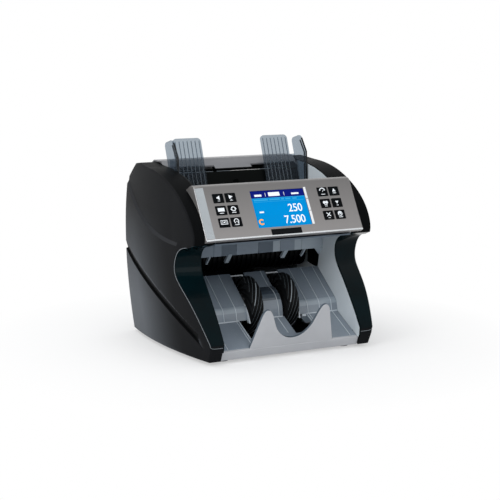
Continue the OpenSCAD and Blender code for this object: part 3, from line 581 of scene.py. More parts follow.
def bevel(bm: BMesh, width: float, segments: int = 3, angle: float = 35.0,
          edges: Sequence[bmesh.types.BMEdge] | None = None) -> BMesh:
    """Rounds the sharp edges of a mesh.

    Args:
        bm: The mesh.
        width: How far a rounding reaches from its edge.
        segments: Faces across a rounding.
        angle: Smallest angle in degrees that counts as sharp.
        edges: The edges to round, if not all the sharp ones.

    Returns:
        The same mesh.
    """
    if edges is None:
        edges = [e for e in bm.edges if len(e.link_faces) == 2 and e.calc_face_angle(0) > math.radians(angle)]
    bmesh.ops.bevel(bm, geom=edges, offset=width, segments=segments, profile=0.5, affect="EDGES",
                    clamp_overlap=True)
    return bm


def copy_of(node: str) -> BMesh:
    """A merged copy of a CAD node's mesh, in mm."""
    bm = bmesh.new()
    bm.from_mesh(frame["nodes"][node].data)
    bm.transform(Matrix.Scale(1 / MM, 4))
    bmesh.ops.remove_doubles(bm, verts=bm.verts, dist=0.002)
    bmesh.ops.dissolve_limit(bm, angle_limit=math.radians(0.6), verts=bm.verts, edges=bm.edges)
    return bm


def dress(mesh: Mesh, name: str, body: str, slot: str, replaced: Sequence[str] = (),
          finishes: Sequence[AnyFinish] = (), smooth: float = 36.0) -> Object:
    """Makes a finished piece of a mesh in mm, hangs it on its CAD body and hides the CAD nodes that it stands
    for.

    Args:
        mesh: The mesh.
        name: The piece's name.
        body: The CAD body that it rides on.
        slot: The record's material slot; not used.
        replaced: CAD nodes that it stands for.
        finishes: Its materials, unless the mesh has them.
        smooth: Edges that bend more, in degrees, stay crisp.

    Returns:
        The piece.
    """
    bm = bmesh.new()
    bm.from_mesh(mesh)
    bm.transform(Matrix.Scale(MM, 4))
    for e in bm.edges:
        e.smooth = len(e.link_faces) == 2 and e.calc_face_angle(0) < math.radians(smooth)
    for f in bm.faces:
        f.smooth = True
    bm.to_mesh(mesh)
    bm.free()
    mesh.name = name
    if finishes:
        if len(mesh.materials):
            mesh.materials.clear()
        for finish in finishes:
            mesh.materials.append(finish.material())
    piece = stand(name, mesh)
    piece.modifiers.new("weigh", "WEIGHTED_NORMAL").keep_sharp = True
    flat = bpy.data.meshes.new_from_object(piece.evaluated_get(bpy.context.evaluated_depsgraph_get()))
    piece.modifiers.clear()
    piece.data = flat
    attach(piece, body)
    if replaced:
        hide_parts(*replaced)
    LOG.info("%s: %d faces, rides on %s", name, len(flat.polygons), body)
    return piece


def dress_bm(bm: BMesh, *args, **settings) -> Object:
    """Closes a mesh under construction and dresses it; see dress."""
    return dress(written(bm, "piece"), *args, **settings)


def trim(bm: BMesh, name: str, slot: str, *finishes: AnyFinish, **settings) -> None:
    """Dresses a piece of the chassis that stands for no CAD node; see dress."""
    dress_bm(bm, name, CHASSIS, slot, (), finishes, **settings)


def rounded(node: str, body: str, slot: str, finish: AnyFinish, width: float = 0.5,
            segments: int = 3) -> Object:
    """Stands a copy with rounded edges in for a CAD node.

    Args:
        node: The CAD node.
        body: Its body.
        slot: Its material slot; not used.
        finish: Its material.
        width: Reach of the roundings in mm.
        segments: Faces across a rounding.

    Returns:
        The piece.
    """
    mesh = written(bevel(copy_of(node), width, segments), node, closed=False)
    return dress(mesh, f"{node}_shell", body, slot, (node,), (finish,))


def repaint(finish: AnyFinish, *nodes: str) -> None:
    """Gives CAD nodes that keep their own mesh a detailed material."""
    for node in nodes:
        slots = frame["nodes"][node].data.materials
        slots.clear()
        slots.append(finish.material())


class NodeTool:
    """A Geometry Nodes tree with named inputs, used on one shape after another."""
    name = "tool"
    sockets: dict[str, str] = {}

    def __init__(self) -> None:
        """Builds the tree with its inputs."""
        self.tree = bpy.data.node_groups.new(self.name, "GeometryNodeTree")
        face = self.tree.interface
        face.new_socket(name="Geometry", in_out="INPUT", socket_type="NodeSocketGeometry")
        self.ids = {label: face.new_socket(name=label, in_out="INPUT", socket_type=kind).identifier
                    for label, kind in {**self.sockets, "Material": "NodeSocketMaterial"}.items()}
        face.new_socket(name="Geometry", in_out="OUTPUT", socket_type="NodeSocketGeometry")
        given = put(self.tree, "NodeGroupInput").outputs
        shape = self.build(given)
        real = put(self.tree, "GeometryNodeRealizeInstances", {"Geometry": shape}).outputs[0]
        done = put(self.tree, "GeometryNodeSetMaterial", {
            "Geometry": real, "Material": given["Material"]}).outputs[0]
        put(self.tree, "NodeGroupOutput", {"Geometry": done})

    def build(self, given: bpy.types.NodeOutputs) -> NodeSocket:
        """Makes the geometry from the tree's inputs and returns its socket."""
        raise NotImplementedError

    def bake(self, bm: BMesh, finish: AnyFinish, **values) -> Mesh:
        """Runs the tree on a shape.

        Args:
            bm: The shape, which is freed.
            finish: The material of the result.
            values: The tree's inputs, with _ for a space.

        Returns:
            A plain mesh.
        """
        work = stand(self.name, written(bm, self.name))
        step = work.modifiers.new(self.name, "NODES")
        step.node_group = self.tree
        for label, value in values.items():
            step[self.ids[label.replace("_", " ")]] = value
        step[self.ids["Material"]] = finish.material()
        return evaluated(work)


class Copies(NodeTool):
    """Repeats a shape that stands at the origin along a line, a turn or both."""
    name = "copies"
    sockets = {"Count": "NodeSocketInt", "Start": "NodeSocketVector", "Step": "NodeSocketVector",
               "Turn": "NodeSocketVector"}

    def build(self, given: bpy.types.NodeOutputs) -> NodeSocket:
        """Places one copy at each point of a line, turned by its number."""
        line = put(self.tree, "GeometryNodeMeshLine", {
            "Count": given["Count"], "Start Location": given["Start"], "Offset": given["Step"]}).outputs[0]
        number = put(self.tree, "GeometryNodeInputIndex").outputs[0]
        turn = put(self.tree, "ShaderNodeVectorMath", {0: given["Turn"], "Scale": number},
                   operation="SCALE").outputs[0]
        return put(self.tree, "GeometryNodeInstanceOnPoints", {
            "Points": line, "Instance": given["Geometry"], "Rotation": turn}).outputs[0]


class Bead(NodeTool):
    """Sweeps a round bead along the edges of a shape."""
    name = "bead"
    sockets = {"Radius": "NodeSocketFloat", "Sides": "NodeSocketInt"}

    def build(self, given: bpy.types.NodeOutputs) -> NodeSocket:
        """Turns edges into a curve and sweeps a circle along it."""
        path = put(self.tree, "GeometryNodeMeshToCurve", {"Mesh": given["Geometry"]}).outputs[0]
        ring = put(self.tree, "GeometryNodeCurvePrimitiveCircle", {
            "Resolution": given["Sides"], "Radius": given["Radius"]}).outputs[0]
        return put(self.tree, "GeometryNodeCurveToMesh", {
            "Curve": path, "Profile Curve": ring, "Fill Caps": True}).outputs[0]


def path_mesh(points: Sequence[Place]) -> BMesh:
    """An open line of edges through points in space."""
    bm = bmesh.new()
    verts = [bm.verts.new(p) for p in points]
    for a, b in zip(verts, verts[1:]):
        bm.edges.new((a, b))
    return bm


def bead(line: Sequence[Place], radius: float, finish: Finish, sides: int = 6) -> Mesh:
    """A round bead along a line in space."""
    return BEAD.bake(path_mesh(line), finish, Radius=radius, Sides=sides)


def side_name(side: int) -> str:
    """Name of the side that a sign stands for."""
    return "left" if side < 0 else "right"


COPIES = Copies()
BEAD = Bead()


# ---------------------------------------------------------------- layout

@dataclass(frozen=True)
class Layout:
    """Lengths in mm that the sub-assemblies share."""
    front: float = -122.865
    rear: float = 139.135
    bay: float = 110.0
    liner: float = 108.0
    cover: float = 149.94
    foot: float = 4.0
    top: float = 258.5
    floor_slope: float = 27.4
    face_slope: float = 60.0
    face_foot: Point = (-110.365, 168.8)
    barrel_radius: float = 735.0
    barrel_rise: float = 162.0
    barrel_mid: float = 126.0
    slant: float = 8.5

    def floor(self, y: float) -> float:
        """Height of the tray floor at a depth y."""
        return self.foot + 12.5 + (y - self.front) * math.tan(math.radians(self.floor_slope))

    def face(self, x: float, s: float, d: float = 0.0) -> Place:
        """Place on the control panel: s up its face from the foot, d into the machine."""
        a = math.radians(self.face_slope)
        return (x, self.face_foot[0] + s * math.cos(a) + d * math.sin(a),
                self.face_foot[1] + s * math.sin(a) - d * math.cos(a))

    def front_edge(self) -> list[Point]:
        """Side view of the front of a cover, from the foot up to the lip."""
        f = self.front
        return [(f + 2, self.foot), (f - 5, self.foot + 16), (f - 6, 30),
                *cubic((f - 6, 30), (f + 10, 57), (f + 37, 90), (f + 55, 110), 12),
                *cubic((f + 55, 110), (f + 70, 128), (f + 68, 155), (f + 36, 157), 20), (f + 21, 162)]

    def outline(self) -> list[Point]:
        """Side view of a cover, clockwise from the front foot."""
        f, r = self.front, self.rear
        crest = cubic((f + 21, 162), (f + 9, 186), (f + 66, self.top - 8), (f + 172, self.top - 3.5), 36)
        return [*self.front_edge(), *crest, (r - 54, self.top), (r - 33, self.top - 2.5),
                (r - 2.5, self.top - 24), (r, 110), (r - 5, self.foot)]

    def flank(self, y: np.ndarray, z: np.ndarray) -> np.ndarray:
        """Distance of a flank's bulge from the middle of the machine."""
        rise = z - self.barrel_rise
        bow = self.barrel_radius - np.where(rise < 0, 0.00044, 0.0008) * rise ** 2
        return (self.cover - self.barrel_radius
                + np.sqrt(np.maximum(bow ** 2 - (y - self.front - self.barrel_mid) ** 2, 1.0)))

    def rim_slant(self, z: float) -> float:
        """How far the rim's outer edge lies behind its inner edge at a height, round the waist."""
        return self.slant * math.exp(-((z - 112) / 24) ** 2)

    def skin_outline(self) -> list[Point]:
        """Side view of a cover's outer skin, whose waist is deeper than at the bay."""
        return [(y + self.rim_slant(z), z) if y < self.front + 80 and z < 161 else (y, z)
                for y, z in self.outline()]


LAY = Layout()


def on_face(bm: BMesh, outline: Sequence[Point], low: float, high: float) -> None:
    """Adds a prism on the control panel's face, between two depths into the machine."""
    prism(bm, outline, lambda p: LAY.face(*p, low), lambda p: LAY.face(*p, high))


def line_distance(points: np.ndarray, line: Sequence[Point], closed: bool = False) -> np.ndarray:
    """Distance of each flat point from a line of segments."""
    a = np.array(line, float)
    b = np.roll(a, -1, axis=0) if closed else a[1:]
    a = a if closed else a[:-1]
    way = b - a
    length = np.maximum((way ** 2).sum(1), 1e-12)
    best = np.full(len(points), 1e9)
    for i in range(len(a)):
        t = np.clip(((points - a[i]) @ way[i]) / length[i], 0, 1)
        best = np.minimum(best, np.linalg.norm(points - a[i] - t[:, None] * way[i], axis=1))
    return best


def inside(points: np.ndarray, loop: Sequence[Point]) -> np.ndarray:
    """True for each flat point that lies in a closed loop."""
    found = np.zeros(len(points), bool)
    for (ay, az), (by, bz) in zip(loop, [*loop[1:], loop[0]]):
        crosses = (az > points[:, 1]) != (bz > points[:, 1])
        at = ay + (points[:, 1] - az) * (by - ay) / (bz - az if bz != az else 1e-9)
        found ^= crosses & (points[:, 0] < at)
    return found


# ---------------------------------------------------------------- side covers

@dataclass
class SideCover:
    """Moulded cover of one side: bulged flank, leaf recess, diagonal groove and lacquered front rim."""
    side: int
    wall: float = 3.0
    edge_radius: float = 1.6
    leaf_depth: float = 2.5
    leaf_bevel: float = 4.6
    groove_depth: float = 3.0
    groove_width: float = 12.0
    ledge: float = 1.2
    cell: float = 5.0
    clearance: float = 2.2
    rim_low: float = 28.0
    rim_top: float = 161.0
    line_inset: float = 0.55

    def leaf(self) -> list[Point]:
        """Lower edge of the leaf recess, from the rear corner to the lip."""
        f, r = LAY.front, LAY.rear
        start = (r + 1, LAY.top - 33)
        return [start, *cubic(start, (f + 180, 179), (f + 140, 154), (f + 30, 157), 48)]

    def groove(self) -> list[Point]:
        """Upper edge of the groove, from the rear to the front."""
        f, r = LAY.front, LAY.rear
        start = (r + 5, 141)
        return [start, *cubic(start, (f + 180, 107), (f + 98, 80), (f + 20, 41), 40),
                *cubic((f + 20, 41), (f + 15, 38.5), (f + 10, 34.5), (f + 6, 30.5), 6)]

    def relief(self, points: np.ndarray, loop: Sequence[Point]) -> np.ndarray:
        """How far the skin lies inside the bulge at flat points."""
        leaf = self.leaf()
        behind, ahead = leaf[0][0] + 12, LAY.front - 40
        above = [*leaf, (ahead, 157), (ahead, 300), (behind, 300), (behind, leaf[0][1])]
        depth = np.clip(line_distance(points, leaf) / self.leaf_bevel, 0, 1)
        depth *= np.clip((points[:, 0] - LAY.front - 10) / 70, 0.35, 1)
        drop = np.where(inside(points, above), depth, 0) * self.leaf_depth
        groove = self.groove()
        band = sheet(groove, 0, -self.groove_width)
        fall = line_distance(points, groove) / (self.groove_width - self.ledge)
        back = (self.groove_width - line_distance(points, groove)) / self.ledge
        fade = np.clip((points[:, 0] - LAY.front - 8) / 26, 0, 1)
        depth = np.clip(np.minimum(fall, back), 0, 1) * self.groove_depth * fade
        drop += np.where(inside(points, band), depth, 0)
        d = np.clip(line_distance(points, loop, closed=True), 0, self.edge_radius)
        return drop + self.edge_radius - np.sqrt(self.edge_radius ** 2 - (self.edge_radius - d) ** 2)

    def lines(self, loop: Sequence[Point]) -> list[tuple[list[Point], bool]]:
        """Lines that the net follows, each with whether it is closed."""
        leaf, groove = self.leaf(), self.groove()
        edges = [(loop_inset(loop, self.edge_radius * k), True) for k in (0.12, 0.4, 1.0)]
        edges += [(shifted(leaf, d), False) for d in (0, self.leaf_bevel * 0.5, self.leaf_bevel)]
        edges += [(shifted(groove, -d), False) for d in (
            0, 3.7, 7.4, self.groove_width - self.ledge, self.groove_width)]
        return [(dense(line, 3.0, closed), closed) for line, closed in edges]

    def net(self, loop: Sequence[Point]) -> tuple[np.ndarray, list[list[int]]]:
        """A flat triangle net over the flank: its points and its faces."""
        lines = self.lines(loop)
        verts, edges = [Vector(p) for p in loop], []
        for line, closed in lines:
            start = len(verts)
            verts += [Vector(p) for p in line]
            edges += [(i, i + 1) for i in range(start, len(verts) - 1)]
            if closed:
                edges.append((len(verts) - 1, start))
        low, high = np.min(loop, axis=0), np.max(loop, axis=0)
        grid = np.stack(np.meshgrid(np.arange(low[0], high[0], self.cell),
                                    np.arange(low[1], high[1], self.cell)), -1).reshape(-1, 2)
        grid[:, 1] += np.where((grid[:, 0] / self.cell).round() % 2 > 0, self.cell / 2, 0)
        lined = np.concatenate([np.array(line) for line, _ in lines] + [np.array(loop)])
        apart = np.array([np.min(np.abs(lined - p).sum(1)) > self.clearance for p in grid])
        verts += [Vector(p) for p in grid[apart & inside(grid, loop)]]
        flat, _, faces, *_ = delaunay_2d_cdt(verts, edges, [list(range(len(loop)))], 1, 1e-4)
        return np.array([tuple(v) for v in flat]), faces

    def tones(self, middle: np.ndarray) -> np.ndarray:
        """Material slots of faces by their middles: 2 for painted shade in the groove, 3 for a painted
        highlight on the leaf's bevel.
        """
        leaf, groove = self.leaf(), self.groove()
        deep = inside(middle, sheet(groove, 0, -self.groove_width))
        lit = inside(middle, sheet(leaf, 0, self.leaf_bevel))
        return np.where(deep & (middle[:, 0] > LAY.front + 20), 2,
                        np.where(lit & (middle[:, 0] > LAY.front + 62), 3, 0))

    def band(self, bm: BMesh) -> None:
        """Joins the skin's open edge to the bay with a band: lacquered in front, with painted shade on the
        crest.
        """
        edges = [e for e in bm.edges if len(e.link_faces) == 1 and (
            min(v.co.z for v in e.verts) > LAY.foot + 0.01 or abs(e.verts[0].co.z - e.verts[1].co.z) > 0.3)]
        made = bmesh.ops.extrude_edge_only(bm, edges=edges)["geom"]
        for v in (g for g in made if isinstance(g, bmesh.types.BMVert)):
            v.co.x = self.side * LAY.bay
            if v.co.y < LAY.front + 90 and v.co.z < self.rim_top:
                v.co.y -= LAY.rim_slant(v.co.z)
        for f in (g for g in made if isinstance(g, bmesh.types.BMFace)):
            mid = f.calc_center_median()
            if self.rim_low < mid.z < self.rim_top + 2 and mid.y < LAY.front + 80:
                f.material_index = 1
            else:
                f.material_index = 2 if mid.z > self.rim_top + 2 and mid.y < LAY.rear - 60 else 0

    def skin(self) -> BMesh:
        """The bulged flank with its relief, and the band round it."""
        loop = dense(LAY.skin_outline(), 2.5)
        points, faces = self.net(loop)
        x = LAY.flank(points[:, 0], points[:, 1]) - self.relief(points, loop)
        bm = bmesh.new()
        made = [bm.verts.new((self.side * a, *p)) for a, p in zip(x, points)]
        tones = self.tones(np.array([points[list(face)].mean(axis=0) for face in faces]))
        for face, tone in zip(faces, tones):
            bm.faces.new([made[i] for i in face]).material_index = int(tone)
        bmesh.ops.delete(bm, geom=[v for v in bm.verts if not v.link_faces], context="VERTS")
        self.band(bm)
        bmesh.ops.recalc_face_normals(bm, faces=bm.faces)
        probe = max(bm.faces, key=lambda f: abs(f.calc_center_median().x))
        if probe.normal.x * self.side < 0:
            bmesh.ops.reverse_faces(bm, faces=bm.faces)
        return bm

    def rim_highlight(self, name: str) -> None:
        """Painted highlight along the outer edge of the rim: a bright line with a rounded turn at its foot.
        """
        near = loop_inset(dense(LAY.skin_outline(), 2.0), self.line_inset)
        line = [(self.side * (float(LAY.flank(np.array(y), np.array(z))) - self.line_inset), y, z)
                for y, z in near if self.rim_low < z < 158 and y < LAY.front + 75]
        x, y, z = line[0]
        turn = [(self.side * (LAY.bay + 0.5), y - 0.1, z - 4.2)]
        turn += [(x - self.side * dx, y - dy, z - dz) for dx, dy, dz in (
            (6.0, 0.1, 4.0), (2.4, 0.05, 3.1), (0.6, 0.0, 1.6))]
        dress(bead([*turn, *line], 0.4, COVER_EDGE_HIGHLIGHT), f"{name}_rim_highlight", CHASSIS, "cover_black")

    def make(self) -> None:
        """Builds the cover, gives it its wall and dresses it."""
        work = stand("cover", written(self.skin(), "cover", closed=False))
        step = work.modifiers.new("wall", "SOLIDIFY")
        step.thickness, step.offset, step.use_even_offset = self.wall, -1, False
        name = side_name(self.side)
        self.rim_highlight(name)
        # The third finish paints shade in the groove and on the crest, the fourth a highlight on the leaf's
        # bevel.
        dress(evaluated(work), f"{name}_cover_moulding", CHASSIS, "cover_black", (f"{name}_side_cover",),
              (COVER, RIM, COVER_SHADE, COVER_LIT), smooth=22)


# ---------------------------------------------------------------- control panel

@dataclass
class ControlPanel:
    """Painted housing of keys and screen, with bevelled ends."""
    half: float = 124.5
    bevel_in: float = 13.2
    bevel_drop: float = 1.2
    face_h: float = 80.2
    thickness: float = 3.0
    gap: float = 0.3
    key: tuple[float, float] = (16.2, 13.4)
    key_x: tuple[float, float] = (73.5, 92.4)
    key_s: tuple[float, ...] = (60.8, 42.7, 24.6)
    screen: tuple[float, float, float, float] = (-41.95, 43.55, 13.0, 68.5)
    through: Point = (5.0, -1.0)

    def section(self, drop: float) -> list[Point]:
        """Outline (s, d) of the housing, with its face set back by drop."""
        line = [(0.0, 9.0), (0.0, drop), (self.face_h, drop), (self.face_h + 5.3, 7.6 + drop * 0.3),
                (self.face_h + 6.3, 26.0), (20.0, 26.0)]
        return fillet(line, {1: 2.2, 2: 2.4, 3: 2.0}, 5)

    def housing(self) -> BMesh:
        """The housing with its hollow and its openings."""
        stations = [(-self.half, self.bevel_drop + 0.5), (-self.half + 0.5, self.bevel_drop),
                    (-self.half + self.bevel_in, 0.0), (self.half - 3.0, 0.0), (self.half - 1.2, 0.35),
                    (self.half, 1.6)]
        bm = bmesh.new()
        loft(bm, [[LAY.face(x, s, d) for s, d in self.section(drop)] for x, drop in stations])
        hollow, shell, holes = bmesh.new(), bmesh.new(), bmesh.new()
        inner = [(2, self.thickness), (self.face_h - 1, self.thickness), (self.face_h + 2.8, 9),
                 (self.face_h + 2.8, 40), (2, 40)]
        ends = [(-self.half + 3, 2.6), (-self.half + self.bevel_in, 0), (self.half - 3, 0)]
        loft(hollow, [[LAY.face(x, s, d + k) for s, d in inner] for x, k in ends])
        slab(shell, -self.half - 5, self.half + 5, loop_inset(LAY.outline(), -self.gap))
        half_w, half_h = (size / 2 + self.gap for size in self.key)
        for side, x, s in product((-1, 1), self.key_x, self.key_s):
            x *= side
            on_face(holes, rounded_rect(x - half_w, x + half_w, s - half_h, s + half_h, 1.2), *self.through)
        on_face(holes, rounded_rect(*self.screen, 0.6), *self.through)
        return cut(bm, shell, hollow, holes)

    def end_bevel(self) -> None:
        """Bright sheet on the bevel at the left end, which falls towards the panel's end: a painted
        highlight.
        """
        def at(x: float, s: float, d: float) -> Place:
            """Place on the bevel."""
            fall = self.bevel_drop * (self.half + x - self.bevel_in) / (0.5 - self.bevel_in)
            return LAY.face(x, s, d + fall)
        bm = bmesh.new()
        quad = box(0.9 - self.half, self.bevel_in - 0.3 - self.half, 2.6, self.face_h - 2.6)
        prism(bm, quad, lambda p: at(*p, 0.3), lambda p: at(*p, -0.12))
        trim(bm, "panel_end_bevel", "silver_trim", PANEL_EDGE)

    def lips(self) -> None:
        """Painted highlights along the foot and up the left end, as bright beads."""
        foot = [LAY.face(x, 1.1, d) for x, d in (
            (-self.half + 0.6, self.bevel_drop + 1.1), (-self.half + self.bevel_in, 1.1),
            (self.half - 3.0, 1.1), (self.half - 1.0, 1.7))]
        end = [LAY.face(-self.half + 0.75, s, self.bevel_drop + 0.75)
               for s in (1.2, 20, 40, 60, self.face_h - 1.2)]
        for name, line, radius in (("foot", foot, 1.3), ("end", end, 0.75)):
            dress(bead(line, radius, LIP, 12), f"panel_{name}_lip", CHASSIS, "silver_trim")

    def side_strip(self) -> None:
        """Painted highlight on the bevel beside the screen, as a bright strip in three lengths."""
        bm = bmesh.new()
        for s0, s1 in ((13.3, 33.6), (34.4, 51.6), (52.4, 69.8)):
            rings = []
            for t, d in ((0, 0.4), (0, -0.15), (0.9, -0.75)):
                rect = rounded_rect(43.9 + t, 47.6 - t, s0 + t, s1 - t, 0.3 + 0.2 * t, 2)
                rings.append([LAY.face(x, s, d) for x, s in rect])
            loft(bm, rings)
        trim(bm, "screen_side_strip", "silver_trim", SCREEN_BEVEL_HIGHLIGHT)

    def make(self) -> None:
        """Builds the housing and its trims."""
        dress_bm(self.housing(), "panel_housing", CHASSIS, "panel_grey", ("control_panel",), (PANEL,),
                 smooth=28)
        self.end_bevel()
        self.lips()
        self.side_strip()
        for side, number in product(("left", "right"), range(1, 7)):
            rounded(f"key_{side}_{number}", f"key_{side}_{number}_cap", "key_black", KEY, 0.7, 3)
        rounded("badge_plate", CHASSIS, "badge_black", BADGE, 0.35, 2)


class Mark(Enum):
    """Pictogram on a key cap, in the order of the keys."""
    LEFT = "arrow left"
    RIGHT = "arrow right"
    NOTE = "note"
    TURN = "turning arrows"
    FRAME = "framed note"
    LOOP = "rounded ring"
    GAUGE = "speed gauge"
    UP = "triangle up"
    CHECK = "six-sided frame"
    DOWN = "triangle down"
    CROSS = "crossed tools"
    GLOBE = "globe"


def arc_mark(radius: float, width: float, start: float, end: float) -> list[Point]:
    """Arc of a pictogram, angles in degrees."""
    return arc_band(0, 1.2, radius, width, start, end, 14)


@dataclass
class KeyMarks:
    """White prints on the key caps, one piece on each key's body."""
    proud: float = 0.6
    lift: float = 0.07

    def shapes(self, mark: Mark) -> list[list[Point]]:
        """Flat outlines of a pictogram about the middle of its cap."""
        word = box(-3.2, 3.2, -4.6, -3.7)
        return {
            Mark.LEFT: [[(-3.4, 0.6), (2.0, -2.6), (2.0, 3.8)], box(-1.6, 2.0, -4.3, -3.7)],
            Mark.RIGHT: [[(-2.6, 3.9), (-2.2, -2.2), (3.4, 1.6)], box(-0.6, 1.6, -3.2, -2.4),
                         box(-1.6, 2.4, -4.6, -4.0)],
            Mark.NOTE: [box(-5.0, 5.0, -1.6, 3.6), word],
            Mark.TURN: [arc_mark(3.6, 1.3, 20, 165), arc_mark(3.6, 1.3, 200, 345),
                        [(3.2, 3.6), (4.8, 1.0), (1.6, 0.8)], [(-3.2, -1.2), (-4.8, 1.4), (-1.6, 1.6)], word],
            Mark.FRAME: [box(-5.2, 5.2, 2.9, 3.7), box(-5.2, 5.2, -2.7, -1.9), box(-5.2, -4.4, -2.1, 3.1),
                         box(4.4, 5.2, -2.1, 3.1), box(-3.2, -1.8, 0.9, 2.0), box(1.8, 3.2, 0.9, 2.0),
                         box(-3.2, -1.8, -1.1, 0.0), box(1.8, 3.2, -1.1, 0.0),
                         ring_points(0, 0.5, 1.2, count=10)],
            Mark.LOOP: [arc_mark(3.9, 1.2, -60, 240), box(-0.9, 1.6, 0.2, 1.2), box(1.4, 3.4, -2.6, -1.6),
                        word],
            Mark.GAUGE: [arc_mark(4.8, 1.4, 5, 175), [(-0.4, 0.4), (0.5, -0.2), (3.0, 3.4)], word],
            Mark.UP: [[(0, 4.0), (-2.9, -0.9), (2.9, -0.9)], box(-2.4, 2.4, -3.6, -2.6)],
            Mark.CHECK: [ring_points(-1.9, 1.4, 2.5, 30, 390, 6), ring_points(1.9, 1.4, 2.5, 30, 390, 6),
                         box(-2.4, 2.4, -2.6, -1.6), box(-2.0, 2.0, -4.6, -3.8)],
            Mark.DOWN: [[(0, -2.0), (2.7, 2.6), (-2.7, 2.6)], box(-1.5, 1.5, -4.3, -3.4)],
            Mark.CROSS: [[(-3.6, 3.4), (-2.6, 4.2), (3.4, -1.2), (2.4, -2.2)],
                         [(3.6, 3.4), (2.6, 4.2), (-3.4, -1.2), (-2.4, -2.2)], box(-1.6, 1.6, -4.5, -3.7)],
            Mark.GLOBE: [arc_mark(3.7, 3.0, 20, 200), arc_mark(3.7, 1.0, 200, 380),
                         ring_points(1.0, 0.6, 1.1, count=8), word],
        }[mark]

    def make(self) -> None:
        """Prints each mark just proud of its cap."""
        panel = ControlPanel()
        for mark, (sign, number) in zip(Mark, product((-1, 1), range(6))):
            outer = (number % 2 == 0) == (sign < 0)
            x, s = sign * panel.key_x[int(outer)], panel.key_s[number // 2]
            bm = bmesh.new()
            for k, shape in enumerate(self.shapes(mark)):
                top = self.proud + self.lift + 0.004 * k
                on_face(bm, [(x + u, s + v) for u, v in shape], 0.1 - self.proud, -top)
            node = f"key_{side_name(sign)}_{number + 1}"
            dress_bm(bm, f"{node}_mark", f"{node}_cap", "key_black", (), (PRINT,))


@dataclass
class Screen:
    """Backlit display behind the panel's window, with plain numerals and bars."""
    x0: float = -41.8
    x1: float = 43.4
    s0: float = 13.15
    s1: float = 68.35
    depth: float = 0.8
    lift: float = 0.05
    digits: float = 11.6
    narrow: float = 0.93

    def at(self, u: float, v: float) -> Point:
        """Place on the panel from shares of the screen's width and height, from its top left."""
        return self.x0 + u * (self.x1 - self.x0), self.s1 - v * (self.s1 - self.s0)

    def sheet(self, name: str, finish: Finish, boxes: Sequence[tuple[float, ...]], level: int) -> None:
        """Lays boxes (u0, u1, v0, v1) on the screen at a level above it."""
        bm = bmesh.new()
        for u0, u1, v0, v1 in boxes:
            (x0, s1), (x1, s0) = self.at(u0, v0), self.at(u1, v1)
            on_face(bm, box(x0, x1, s0, s1), self.depth + 0.02, self.depth - self.lift * level)
        trim(bm, name, "screen_blue", finish)

    def numerals(self, name: str, text: str, u1: float, v1: float) -> None:
        """Sets plain numerals flush right, with their foot at v1."""
        curve = bpy.data.curves.new(name, "FONT")
        curve.body, curve.size, curve.align_x = text, 1.0, "RIGHT"
        curve.extrude, curve.offset, curve.space_character = 0.01, 0.008, 0.98
        mesh = evaluated(stand(name, curve))
        heights = [v.co.y for v in mesh.vertices]
        scale = self.digits / (max(heights) - max(min(heights), 0))
        x, s = self.at(u1, v1)
        for v in mesh.vertices:
            level = self.depth - self.lift * (3 if v.co.z > 0 else 0.5)
            v.co = LAY.face(x + v.co.x * scale * self.narrow, s + v.co.y * scale, level)
        dress(mesh, name, CHASSIS, "screen_blue", (), (DIGIT,))

    def make(self) -> None:
        """Builds the module, the picture and its numerals."""
        bm = bevel(copy_of("display_module"), 0.1, 1, 60)
        dress_bm(bm, "display_glass", CHASSIS, "screen_blue", ("display_module",), (FIELD,))
        self.sheet("screen_header", HEADER, [(0.0, 1.0, 0.0, 0.2)], 1)
        self.sheet("screen_row", ROW, [(0.0, 1.0, 0.2, 0.212), (0.03, 0.97, 0.3, 0.308)], 1)
        words = [(0.07, 0.2, 0.1, 0.155), (0.33, 0.54, 0.055, 0.16), (0.27, 0.277, 0.06, 0.16),
                 (0.62, 0.627, 0.06, 0.16), (0.76, 0.9, 0.1, 0.145), (0.09, 0.17, 0.56, 0.6)]
        dashes = [(u0, u1, 0.235, 0.27) for u0, u1 in (
            (0.04, 0.3), (0.33, 0.52), (0.55, 0.6), (0.63, 0.72), (0.76, 0.84))]
        self.sheet("screen_bars", DIGIT, words, 2)
        self.sheet("screen_dashes", ROW, dashes, 2)
        self.numerals("screen_count", "250", 0.9, 0.61)
        self.numerals("screen_total", "7.500", 0.905, 0.92)
        x, s = self.at(0.085, 0.84)
        bm = bmesh.new()
        on_face(bm, arc_band(x, s, 4.4, 1.9, 40, 320, 20), self.depth + 0.02, self.depth - 0.12)
        trim(bm, "screen_coin", "screen_blue", COIN)


# ---------------------------------------------------------------- tray

